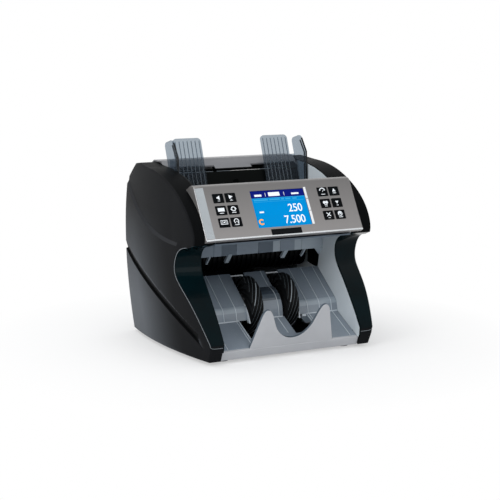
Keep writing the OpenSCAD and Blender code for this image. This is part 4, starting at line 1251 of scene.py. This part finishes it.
@dataclass
class Tray:
    """Smoky tray: floor, drum covers with ribs, wheel guards and wire clips, and the front trim bar."""
    slot_in: float = 18.5
    slot_out: float = 39.5
    floor_slot_out: float = 54.5
    nose_half: float = 17.0
    thickness: float = 3.0
    rib_w: float = 0.9
    rib_h: float = 0.7
    low: Point = (LAY.front + 58, 60.5)
    high: Point = (LAY.front + 112, 101.5)
    foot: Point = (LAY.front + 54, 44.5)

    def cover_top(self) -> list[Point]:
        """Top line of an outer drum cover: riser, soft fold and slope."""
        foot = (self.foot[0], LAY.floor(self.foot[0]))
        return fillet([foot, self.low, self.high], {1: 5.0}, 8)

    def nose(self) -> list[Point]:
        """The middle cover's curve, from the fold down to the floor."""
        f = LAY.front
        return cubic((f + 87.7, 83.2), (f + 74, 80.5), (f + 56.5, 75), (f + 55, 43.5), 20)

    def nose_top(self) -> list[Point]:
        """Top line of the middle cover, which bulges between the wheels."""
        return [*reversed(self.nose()), (LAY.front + 87.7, 83.2), self.high]

    def ribbed(self, top: Sequence[Point], x: float, count: int, step: float, name: str) -> None:
        """Runs thin ribs along a cover's top line."""
        bm = bmesh.new()
        slab(bm, -self.rib_w / 2, self.rib_w / 2, sheet(top, -self.rib_h, 0.4))
        mesh = COPIES.bake(bm, TRAY_HIGHLIGHT, Count=count, Start=(x, 0.0, 0.0), Step=(step, 0.0, 0.0))
        dress(mesh, name, CHASSIS, "tray_smoke")

    def covers(self) -> None:
        """Outer drum covers with a painted highlight band on their folds, and the middle cover with a painted
        shadow below its fold.
        """
        top = self.cover_top()
        for side, x0, x1 in ((-1, -LAY.liner, -self.slot_out), (1, self.slot_out, LAY.liner)):
            bm = bmesh.new()
            slab(bm, x0 + 0.02, x1, sheet(top, 0, self.thickness))
            name = f"{side_name(side)}_drum"
            dress_bm(bevel(bm, 0.5, 2, 60), f"{name}_shell", CHASSIS, "tray_smoke", (f"{name}_cover",),
                     (TRAY,))
        # Painted highlight bands along the outer covers' folds
        folds = bmesh.new()
        for x0, x1 in ((0.4 - LAY.liner, -self.slot_out - 1), (self.slot_out + 1, LAY.liner - 0.6)):
            slab(folds, x0, x1, sheet(top[1:-1], -0.1, 0.4))
        trim(folds, "cover_fold_bands", "tray_smoke", TRAY_LIT)
        bm = bmesh.new()
        slab(bm, -self.nose_half, self.nose_half, sheet(self.nose_top(), 0.0, 2.2))
        dress_bm(bevel(bm, 0.9, 3, 60), "centre_drum_shell", CHASSIS, "tray_smoke", ("centre_drum_cover",),
                 (TRAY,))
        # Painted shadow on the nose just below its fold, and paler painted shade below that
        bm = bmesh.new()
        curve = list(reversed(self.nose()))
        for index, part in enumerate((curve[-9:], curve[-13:-8])):
            slab(bm, 0.6 - self.nose_half, self.nose_half - 0.6, sheet(part, -0.12, 0.3), index)
        trim(bm, "centre_cover_band", "tray_smoke", TRAY_SHADOW, TRAY_DUSK)

    def foot_lines(self) -> None:
        """Painted highlight where each cover meets the floor, as a bright line."""
        bm = bmesh.new()
        y, z = self.foot[0] - 0.6, LAY.floor(self.foot[0]) + 0.5
        wide = LAY.liner - 1
        for x0, x1, back in ((-wide, -self.floor_slot_out - 1, 0.0), (self.floor_slot_out + 1, wide, 0.0),
                             (1 - self.nose_half, self.nose_half - 1, 0.4)):
            slab(bm, x0, x1, [(y + back + dy, z + dz) for dy, dz in ((-0.5, -0.9), (0.6, 0.5), (0.7, -1.0))])
        trim(bm, "cover_foot_lines", "tray_smoke", TRAY_HIGHLIGHT)

    def floor_line(self, y0: float, y1: float) -> list[Point]:
        """Line up the floor between two depths behind the front."""
        return [(LAY.front + y, LAY.floor(LAY.front + y)) for y in (y0, y1)]

    def ribs(self) -> None:
        """Ribs down the slopes, over the risers and along the floor, and lips of the floor's slots, all in
        the pale tone of painted highlight.
        """
        foot = self.foot[0] - LAY.front
        for side in (-1, 1):
            name = side_name(side)
            self.ribbed(self.cover_top(), side * 58.0, 3, side * 20.0, f"{name}_drum_ribs")
            self.ribbed(self.floor_line(4, foot), side * 59.0, 2, side * 39.0, f"{name}_floor_ribs")
        self.ribbed(self.nose_top(), 10.3, 1, 0.0, "centre_cover_rib")
        self.ribbed(self.floor_line(22, foot - 2), 6.6, 1, 0.0, "centre_floor_rib")
        bm = bmesh.new()
        (y0, z0), (y1, z1) = self.floor_line(18, foot)
        for side in (-1, 1):
            side_slab(bm, side, self.floor_slot_out + 0.2, self.floor_slot_out + 1.6,
                      [(y0, z0 - 0.5), (y0, z0 + 0.9), (y1, z1 + 0.9), (y1, z1 - 0.5)])
        trim(bm, "floor_slot_lips", "tray_smoke", TRAY_HIGHLIGHT)

    def guards(self) -> None:
        """Curved guards beside the wheels, and a tongue with a bracket in the right slot; the guards and the
        bracket are in the pale tone of painted highlight.
        """
        y = LAY.front
        rim = [(y + 66, 66.5), *cubic((y + 66, 66.5), (y + 60, 63), (y + 52, 54), (y + 47, 41), 12)]
        back = [(y + 53.5, 41), (y + 57, 52), (y + 62, 61), (y + 70, 68)]
        bm = bmesh.new()
        for side in (-1, 1):
            side_slab(bm, side, self.slot_out + 0.2, self.slot_out + 2.0, [*rim, *back])
        slab(bm, 43.5, 54.0, [(y + 51.5, 41.5), (y + 51.5, 42.3), (y + 37, 36.0), (y + 37, 35.2)], 1)
        slab(bm, 45.5, 52.5, box(y + 49.5, y + 50.5, 42.2, 45.5))
        trim(bevel(bm, 0.5, 2, 60), "wheel_guards", "tray_smoke", TRAY_HIGHLIGHT, TRAY_DUSK)

    def clips(self) -> None:
        """Bent wire clips across the tops of the wheel slots."""
        y, z = self.high[0] - 1.5, self.high[1] - 3.4
        for k, x in enumerate((-self.slot_out, self.slot_in)):
            clip = [(x + dx, y - dy, z - dz) for dx, dy, dz in (
                (0.4, 0, 0), (19.0, 0, 0), (20.2, 0.2, 0.9), (20.3, 0.3, 2.4), (19.0, 2.6, 2.9),
                (13.5, 2.6, 2.9))]
            dress(bead(clip, 1.25, CLIP, 10), f"slot_clip_{k + 1}", CHASSIS, "chassis_steel")

    def make(self) -> None:
        """Builds the tray."""
        rounded("tray_floor", CHASSIS, "tray_smoke", TRAY, 0.5, 2)
        self.covers()
        self.foot_lines()
        self.ribs()
        self.guards()
        self.clips()
        rounded("front_trim_bar", CHASSIS, "silver_trim", SILVER, 0.7, 3)


@dataclass
class InnerWalls:
    """Walls beside the tray: light faces, and dark front edges that join the rims."""

    def make(self) -> None:
        """Builds both walls."""
        for name in ("left", "right"):
            bm = bevel(copy_of(f"{name}_inner_wall"), 0.3, 2)
            bm.normal_update()
            for f in bm.faces:
                f.material_index = int(abs(f.normal.x) < 0.85)
            dress_bm(bm, f"{name}_wall_liner", CHASSIS, "inner_grey", (f"{name}_inner_wall",), (LINER, RIM))


@dataclass
class NoteStop:
    """W-shaped note stop: silver face on a smoky body, leaning forwards."""
    half: float = 66.4
    height: float = 57.7
    valley: float = 10.8
    lean: float = 17.0
    skin: float = 1.1
    body: float = 5.0
    set_back: float = 0.6
    foot_z: float = 16.0

    def side(self) -> list[Point]:
        """Right half of the outline, from the foot over the peak to the valley."""
        k, h, v = self.half, self.height, self.valley
        return [(k, -0.5), (0.82 * k, 0.775 * h),
                *cubic((0.82 * k, 0.775 * h), (0.79 * k, 0.93 * h), (0.745 * k, h), (0.685 * k, h), 12),
                *cubic((0.685 * k, h), (0.56 * k, h), (0.51 * k, 0.65 * h), (0.41 * k, 0.47 * h), 12),
                *cubic((0.41 * k, 0.47 * h), (0.3 * k, 0.29 * h), (0.17 * k, v), (0, v), 12)]

    def place(self, p: Point, depth: float) -> Place:
        """Place on the leaning plate, depth behind its face."""
        a = math.radians(self.lean)
        return (p[0], LAY.front + self.set_back - p[1] * math.sin(a) + depth * math.cos(a),
                self.foot_z + p[1] * math.cos(a) + depth * math.sin(a))

    def make(self) -> None:
        """Builds the silver face and the smoky body behind it."""
        half = self.side()
        loop = [*half, *[(-x, z) for x, z in reversed(half[:-1])]]
        inner, soft = ([*reversed(loop_inset(loop[::-1], width))] for width in (0.45, 0.4))
        inner[0], inner[-1] = (self.half - 0.6, -0.5), (0.6 - self.half, -0.5)
        bm = bmesh.new()
        loft(bm, [[self.place(p, self.skin) for p in loop], [self.place(p, 0.45) for p in loop],
                  [self.place(p, 0.0) for p in inner]])
        trim(bm, "note_stop_face", "silver_trim", SILVER, smooth=30)
        bm = bmesh.new()
        loft(bm, [[self.place(p, self.skin) for p in loop], [self.place(p, self.body - 0.4) for p in loop],
                  [self.place(p, self.body) for p in soft]])
        dress_bm(bm, "note_stop_body", CHASSIS, "tray_smoke", ("note_stop_plate",), (TRAY_DUSK,), smooth=40)


@dataclass
class UpperGuide:
    """Smoky shield above the exit, in upright facets, with four fingers."""
    facet_w: float = 12.0
    tones: tuple[int, ...] = (0, 0, 0, 0, 1, 1, 0, 0, 0, 1, 1, 2, 0, 0, 2, 2, 2, 2)
    foot: Point = (97.0, 131.0)
    brow: Point = (96.2, 149.9)
    tip: Point = (107.5, 118.8)
    fingers: tuple[Point, ...] = ((-78, 1.1), (-46, 3.1), (46, 3.1), (78, 1.1))

    @staticmethod
    def beam(bm: BMesh, x0: float, x1: float, outline: Sequence[Point], index: int = 0) -> None:
        """Adds a prism along X whose depths are taken from the front."""
        slab(bm, x0, x1, [(LAY.front + y, z) for y, z in outline], index)

    def curtain(self) -> None:
        """The roof, the facets in three tones, and the gusset at the right."""
        bm = bmesh.new()
        (foot_y, foot_z), (brow_y, brow_z) = self.foot, self.brow
        self.beam(bm, -LAY.liner, LAY.liner, [(22, 160), (22, 162), (97, 152), (97, 150)], 1)
        for i, tone in enumerate(self.tones):
            x0, back = -LAY.liner + i * self.facet_w, 0.3 * (i % 3)
            self.beam(bm, x0 + 0.1, x0 + self.facet_w - 0.1, [
                (brow_y + back, brow_z), (foot_y + back, foot_z), (98.8, foot_z), (98.2, brow_z)], tone)
        gusset = [(93.6, foot_y, foot_z + 0.4), (LAY.liner, foot_y, foot_z + 0.2), (LAY.liner, *self.tip)]
        loft(bm, [[(x, LAY.front + y + k, z) for x, y, z in gusset] for k in (0.0, 1.2)], 2)
        dress_bm(bevel(bm, 0.25, 1, 60), "upper_shield", CHASSIS, "clear_smoke", ("upper_note_guide",),
                 (SHIELD, SHIELD_DARK, SHIELD_LIGHT), smooth=30)

    def make(self) -> None:
        """Builds the curtain, dark sheets behind and beside it that paint the shadow in the exit gap, and the
        fingers.
        """
        self.curtain()
        # Painted shadow: black sheets across the exit gap and on the walls beside it
        bm = bmesh.new()
        across = [(99.2, 134.5), (122, 129.5), (122, 127.5), (99.2, 132)]
        self.beam(bm, 0.5 - LAY.liner, LAY.liner - 0.5, across)
        beside = [(111.5, 99), (107.8, 118.6), (99, 129), (99, 138), (140, 138), (140, 104)]
        for x in (-LAY.liner, LAY.liner - 0.5):
            self.beam(bm, x, x + 0.5, beside)
        trim(bm, "shield_rear_strip", "clear_smoke", HOPPER_BLACK)
        bm = bmesh.new()
        for x, half in self.fingers:
            self.beam(bm, x - half, x + half, [(108.5, 118.6), (96.5, 131.4), (99, 134), (111.5, 121)])
        trim(bevel(bm, 0.4, 2, 50), "shield_fingers", "clear_smoke", SHIELD_LIGHT)


@dataclass
class StackerWheel:
    """Rubber wheel whose curved vanes catch the notes; the vanes lie askew across its width."""
    side: int
    x: float = 29.0
    width: float = 18.6
    radius: float = 42.0
    hub: float = 21.0
    vanes: int = 16
    sweep: float = 62.0
    skew: float = 78.0
    head: float = 18.5
    centre: Point = (LAY.front + 87, 59.0)

    def profile(self) -> list[Point]:
        """One vane as radius and angle: a thin arm that widens into a head along the rim."""
        root, tip = self.hub - 2.5, self.radius - 0.2
        arm = [(root + (tip - root) * t, self.sweep * t) for t in (k / 10 for k in range(11))]
        head = [(tip, self.sweep - self.head * k / 4) for k in range(1, 5)]
        back = [(r + 1.2, a - 2.5 - 60 / r) for r, a in reversed(arm[:7])]
        return [*arm, *head, *back]

    def vane(self) -> BMesh:
        """One vane about the wheel's middle, twisted from face to face."""
        bm = bmesh.new()
        loft(bm, [[(u * (self.width - 0.4), *polar(r, a - self.skew * u)) for r, a in self.profile()]
                  for u in (k / 14 - 0.5 for k in range(15))])
        return bm

    def edge(self, share: float, middle: float) -> list[Place]:
        """Line along the head of one vane over a share of the width."""
        return [(u * self.width, *polar(self.radius - 0.35, self.sweep - 3 - self.skew * u))
                for u in ((k / 16 - 0.5) * share + middle for k in range(17))]

    def around(self, bm: BMesh, finish: Finish, every: int = 1) -> Mesh:
        """Repeats a shape round the wheel, at every vane or fewer."""
        return COPIES.bake(bm, finish, Count=self.vanes // every, Start=(self.side * self.x, *self.centre),
                           Step=(0.0, 0.0, 0.0), Turn=(2 * math.pi / self.vanes * every, 0.0, 0.0))

    def hub_ring(self, degrees: float) -> list[Place]:
        """Section of the hub, with fine ridges on both its faces."""
        h, w = self.hub, self.width / 2
        ridges = [(w * (0.86 + 0.14 * (k % 2)), h - 1.6 - 1.3 * k) for k in range(11)]
        profile = [*((-x, r) for x, r in reversed(ridges)), (-w + 0.8, h - 0.2), (-w + 3, h), (w - 3, h),
                   (w - 0.8, h - 0.2), *ridges]
        arms = [(x, *polar(r, degrees)) for x, r in profile]
        return [(self.side * self.x + x, self.centre[0] + u, self.centre[1] + v) for x, u, v in arms]

    def make(self) -> None:
        """Builds the vanes with painted highlights along their edges and slits, and the hub."""
        name = f"{side_name(self.side)}_wheel"
        dress(self.around(self.vane(), RUBBER), f"{name}_vanes", "stacker", "wheel_black",
              (f"{side_name(self.side)}_stacker_wheel",), smooth=24)
        # Painted highlights: pale beads along the vanes' heads and along their slits
        for label, line, finish, radius, every in (("edges", self.edge(0.6, 0.03), VANE_HIGHLIGHT, 0.7, 4),
                                                   ("slits", self.edge(0.96, 0.0), SLIT_HIGHLIGHT, 0.3, 1)):
            mesh = self.around(reopened(bead(line, radius, finish)), finish, every)
            dress(mesh, f"{name}_{label}", "stacker", "wheel_black")
        bm = bmesh.new()
        rows = [[bm.verts.new(p) for p in self.hub_ring(7.5 * k)] for k in range(48)]
        for a, b in zip(rows, [*rows[1:], rows[0]]):
            for i in range(len(a)):
                j = (i + 1) % len(a)
                bm.faces.new((a[i], a[j], b[j], b[i]))
        dress_bm(bm, f"{name}_hub", "stacker", "wheel_black", (), (RUBBER_HATCH,))


# ---------------------------------------------------------------- hopper

@dataclass
class NoteGuide:
    """Clear guide of one side: the CAD shape with rounded corners, and its ribs."""
    side: int
    lean: float = 19.5
    plate: tuple[float, float] = (49.5, 95.0)
    back: Point = (LAY.front + 166.5, 243.5)
    top: float = 293.0
    ribs: int = 7

    def on_plate(self, p: Point, d: float) -> Place:
        """Place at a height along the ribbed plate from the hopper's edge, d before it."""
        a = math.radians(self.lean)
        return (p[0], self.back[0] + p[1] * math.sin(a) - d * math.cos(a),
                self.back[1] + p[1] * math.cos(a) + d * math.sin(a))

    def corners(self, bm: BMesh) -> list[bmesh.types.BMEdge]:
        """Short edges at the top corners of the two plates."""
        made = []
        for e in bm.edges:
            across, long = abs(e.verts[0].co.x - e.verts[1].co.x), e.calc_length()
            if min(v.co.z for v in e.verts) <= self.top - 8 or long >= 3.2:
                continue
            if across > 1.5 or across < 0.05 and long > 1.5 and abs(e.verts[0].co.x) < self.plate[1] + 1:
                made.append(e)
        return made

    def flange(self, name: str, body: str) -> None:
        """Dark front edge of the side plate, and the line behind it."""
        foot, high = (self.back[0] - 27.5, self.back[1] - 28.0), (self.back[0] - 24.5, self.top - 23.0)
        front = [foot, high, (self.back[0] - 10.5, self.top - 3.5)]
        bm = bmesh.new()
        for near, far in ((0.0, 1.15), (6.0, 6.6)):
            side_slab(bm, self.side, 104.4, 106.6, sheet(front, near, far))
        dress_bm(bm, f"{name}_edge", body, "clear_smoke", (), (GUIDE_DARK,))

    def make(self) -> None:
        """Builds the guide, its ribs and its dark edges."""
        name = f"{side_name(self.side)}_guide"
        node = f"{side_name(self.side)}_note_guide"
        bm = copy_of(node)
        dress_bm(bevel(bm, 6.0, 8, edges=self.corners(bm)), f"{name}_plates", name, "clear_smoke", (node,),
                 (GUIDE,), smooth=25)
        self.flange(name, name)
        long = (self.top - self.back[1]) / math.cos(math.radians(self.lean))
        pitch = (self.plate[1] - self.plate[0] - 7) / (self.ribs - 1)
        bm = bmesh.new()
        prism(bm, box(-0.45, 0.45, -38.0, long - 4.5), lambda p: self.on_plate(p, -0.1),
              lambda p: self.on_plate(p, 0.9))
        mesh = COPIES.bake(bm, GUIDE_RIB, Count=self.ribs, Step=(self.side * pitch, 0.0, 0.0),
                           Start=(self.side * (self.plate[0] + 3.5), 0.0, 0.0))
        dress(mesh, f"{name}_ribs", name, "clear_smoke")


@dataclass
class Hopper:
    """Hopper cover, its black inside and the guides."""

    def make(self) -> None:
        """Builds the hopper's pieces."""
        rounded("hopper_rear_cover", CHASSIS, "hopper_grey", HOPPER, 0.6, 3)
        rounded("hopper_plate", CHASSIS, "hopper_black", HOPPER_BLACK, 0.4, 2)
        for side in (-1, 1):
            NoteGuide(side).make()


# ---------------------------------------------------------------- rear and inside

@dataclass
class Rear:
    """Rear cover, door with louvres, sockets, rocker, knob, screws, base plate and feet."""
    louvres: int = 9

    def make(self) -> None:
        """Builds the rear pieces."""
        for node, body, slot, finish, width, segments in (
                ("rear_cover", CHASSIS, "cover_black", COVER, 0.6, 2),
                ("rear_door", "rear_door_panel", "cover_black", COVER, 0.6, 2),
                ("power_inlet", CHASSIS, "fitting_black", BLACK_PART, 0.5, 2),
                ("power_switch", "rocker", "fitting_black", BLACK_PART, 0.6, 2),
                ("data_ports", CHASSIS, "chassis_steel", PLATED, 0.25, 1),
                ("cover_screws", CHASSIS, "shaft_steel", STEEL, 0.3, 2),
                ("feed_gap_knob", "gap_knob", "fitting_black", BLACK_PART, 0.5, 2),
                ("base_plate", CHASSIS, "base_grey", PLATED_DARK, 0.4, 2),
                ("rubber_feet", CHASSIS, "base_grey", RUBBER, 0.8, 3)):
            rounded(node, body, slot, finish, width, segments)
        bm = bmesh.new()
        y = LAY.rear - 1.4
        slab(bm, -42.0, 42.0, [(y - 0.8, -0.9), (y + 0.5, -0.7), (y + 0.5, 0.7), (y - 0.8, 0.9)])
        mesh = COPIES.bake(bevel(bm, 0.25, 2, 50), COVER, Count=self.louvres, Start=(0.0, 0.0, 140.0),
                           Step=(0.0, -0.14, 5.0))
        dress(mesh, "door_louvres", "rear_door_panel", "cover_black")


INSIDE = {
    PLATED_FRAME: ("left_side_frame", "right_side_frame"),
    BOARD: ("key_circuit_board", "main_circuit_board"),
    STEEL: ("guide_rods", "pickup_shaft", "feed_shaft", "stacker_shaft", "motor_pulley"),
    BRASS: ("shaft_bushes",), RUBBER_GREY: ("retard_rollers",), MOTOR: ("drive_motor",),
    RUBBER: ("drive_belts", "pickup_rollers", "feed_rollers"), BLACK_PART: ("sensor_bar",),
    PLATED: ("power_supply",), NYLON: ("guide_pinion",), DRUM: ("transport_drum",)}


# ---------------------------------------------------------------- stage

CAMERA_PLACE = (-0.9185, -1.7115, 0.4456)
CAMERA_WAY = (0.46676, 0.86989, -0.15947)
LENS_MM = 97.2
LAMPS = {"top_softbox": ((-0.2, 0.1, 1.5), (0, 0.02, 0.1), 1.1, 10),
         "left_softbox": ((-1.6, -0.6, 0.75), (0, 0, 0.12), 0.8, 11),
         "front_softbox": ((0.2, -1.7, 0.55), (0, 0, 0.12), 0.8, 4)}


def aimed(obj: Object, place: Place, way: Vector) -> None:
    """Puts a lamp or a camera at a place in metres, looking along a direction."""
    obj.location = place
    obj.rotation_euler = way.to_track_quat("-Z", "Y").to_euler()


def seen_white(tree: NodeTree, lit: NodeSocket, output: NodeSocket, share: Value) -> None:
    """Mixes white into what the camera, mirrors and clear parts see of a surface."""
    path = put(tree, "ShaderNodeLightPath").outputs
    seen = path["Is Camera Ray"]
    for kind in ("Is Glossy Ray", "Is Transmission Ray"):
        seen = sums(tree, "MAXIMUM", seen, path[kind])
    part = sums(tree, "MULTIPLY", seen, share)
    kind = "ShaderNodeBackground" if tree.nodes.get("Background") else "ShaderNodeEmission"
    white = put(tree, kind, {"Color": (1, 1, 1, 1), "Strength": 1.0}).outputs[0]
    mix = put(tree, "ShaderNodeMixShader", {0: part, 1: lit, 2: white}).outputs[0]
    tree.links.new(mix, output)


def floor() -> None:
    """Sets a pale floor that keeps the object's shadow and is white farther out."""
    made, tree, shader, place = blank("white_studio_floor")
    fill(tree, shader, {"Base Color": (0.9, 0.9, 0.9, 1), "Roughness": 0.7, "Specular IOR Level": 0.1})
    away = put(tree, "ShaderNodeVectorMath", {0: place}, operation="LENGTH").outputs["Value"]
    seen_white(tree, shader.outputs[0], tree.nodes["Material Output"].inputs["Surface"],
               ranged(tree, away, 0.16, 0.42, 0.45, 1.0))
    bm = bmesh.new()
    bmesh.ops.create_grid(bm, x_segments=1, y_segments=1, size=6)
    mesh = written(bm, "studio_floor", closed=False)
    mesh.materials.append(made)
    stand("studio_floor", mesh)


def stage() -> None:
    """Sets the floor, the world, the lamps and the camera."""
    floor()
    scene = bpy.context.scene
    scene.world = bpy.data.worlds.new("studio_world")
    scene.world.use_nodes = True
    tree = scene.world.node_tree
    grey = tree.nodes["Background"]
    fill(tree, grey, {"Color": (0.93, 0.96, 1.0, 1), "Strength": 0.5})
    seen_white(tree, grey.outputs[0], tree.nodes["World Output"].inputs["Surface"], 1.0)
    for name, (place, aim, size, power) in LAMPS.items():
        data = bpy.data.lights.new(name, "AREA")
        data.energy, data.size = power, size
        aimed(stand(name, data), place, Vector(aim) - Vector(place))
    data = bpy.data.cameras.new("camera")
    data.lens, data.sensor_width = LENS_MM, 36
    scene.camera = stand("camera", data)
    aimed(scene.camera, CAMERA_PLACE, Vector(CAMERA_WAY))
    scene.view_settings.view_transform = "Standard"


def main() -> None:
    """Builds the machine's looks, piece by piece."""
    stage()
    for finish, nodes in INSIDE.items():
        repaint(finish, *nodes)
        LOG.info("%s: %s", finish.name, ", ".join(nodes))
    for part in (SideCover(-1), SideCover(1), ControlPanel(), KeyMarks(), Screen(), Tray(), InnerWalls(),
                 NoteStop(), UpperGuide(), StackerWheel(-1), StackerWheel(1), Hopper(), Rear()):
        part.make()
        LOG.info("%s done", type(part).__name__)


if __name__ == "__main__":
    main()
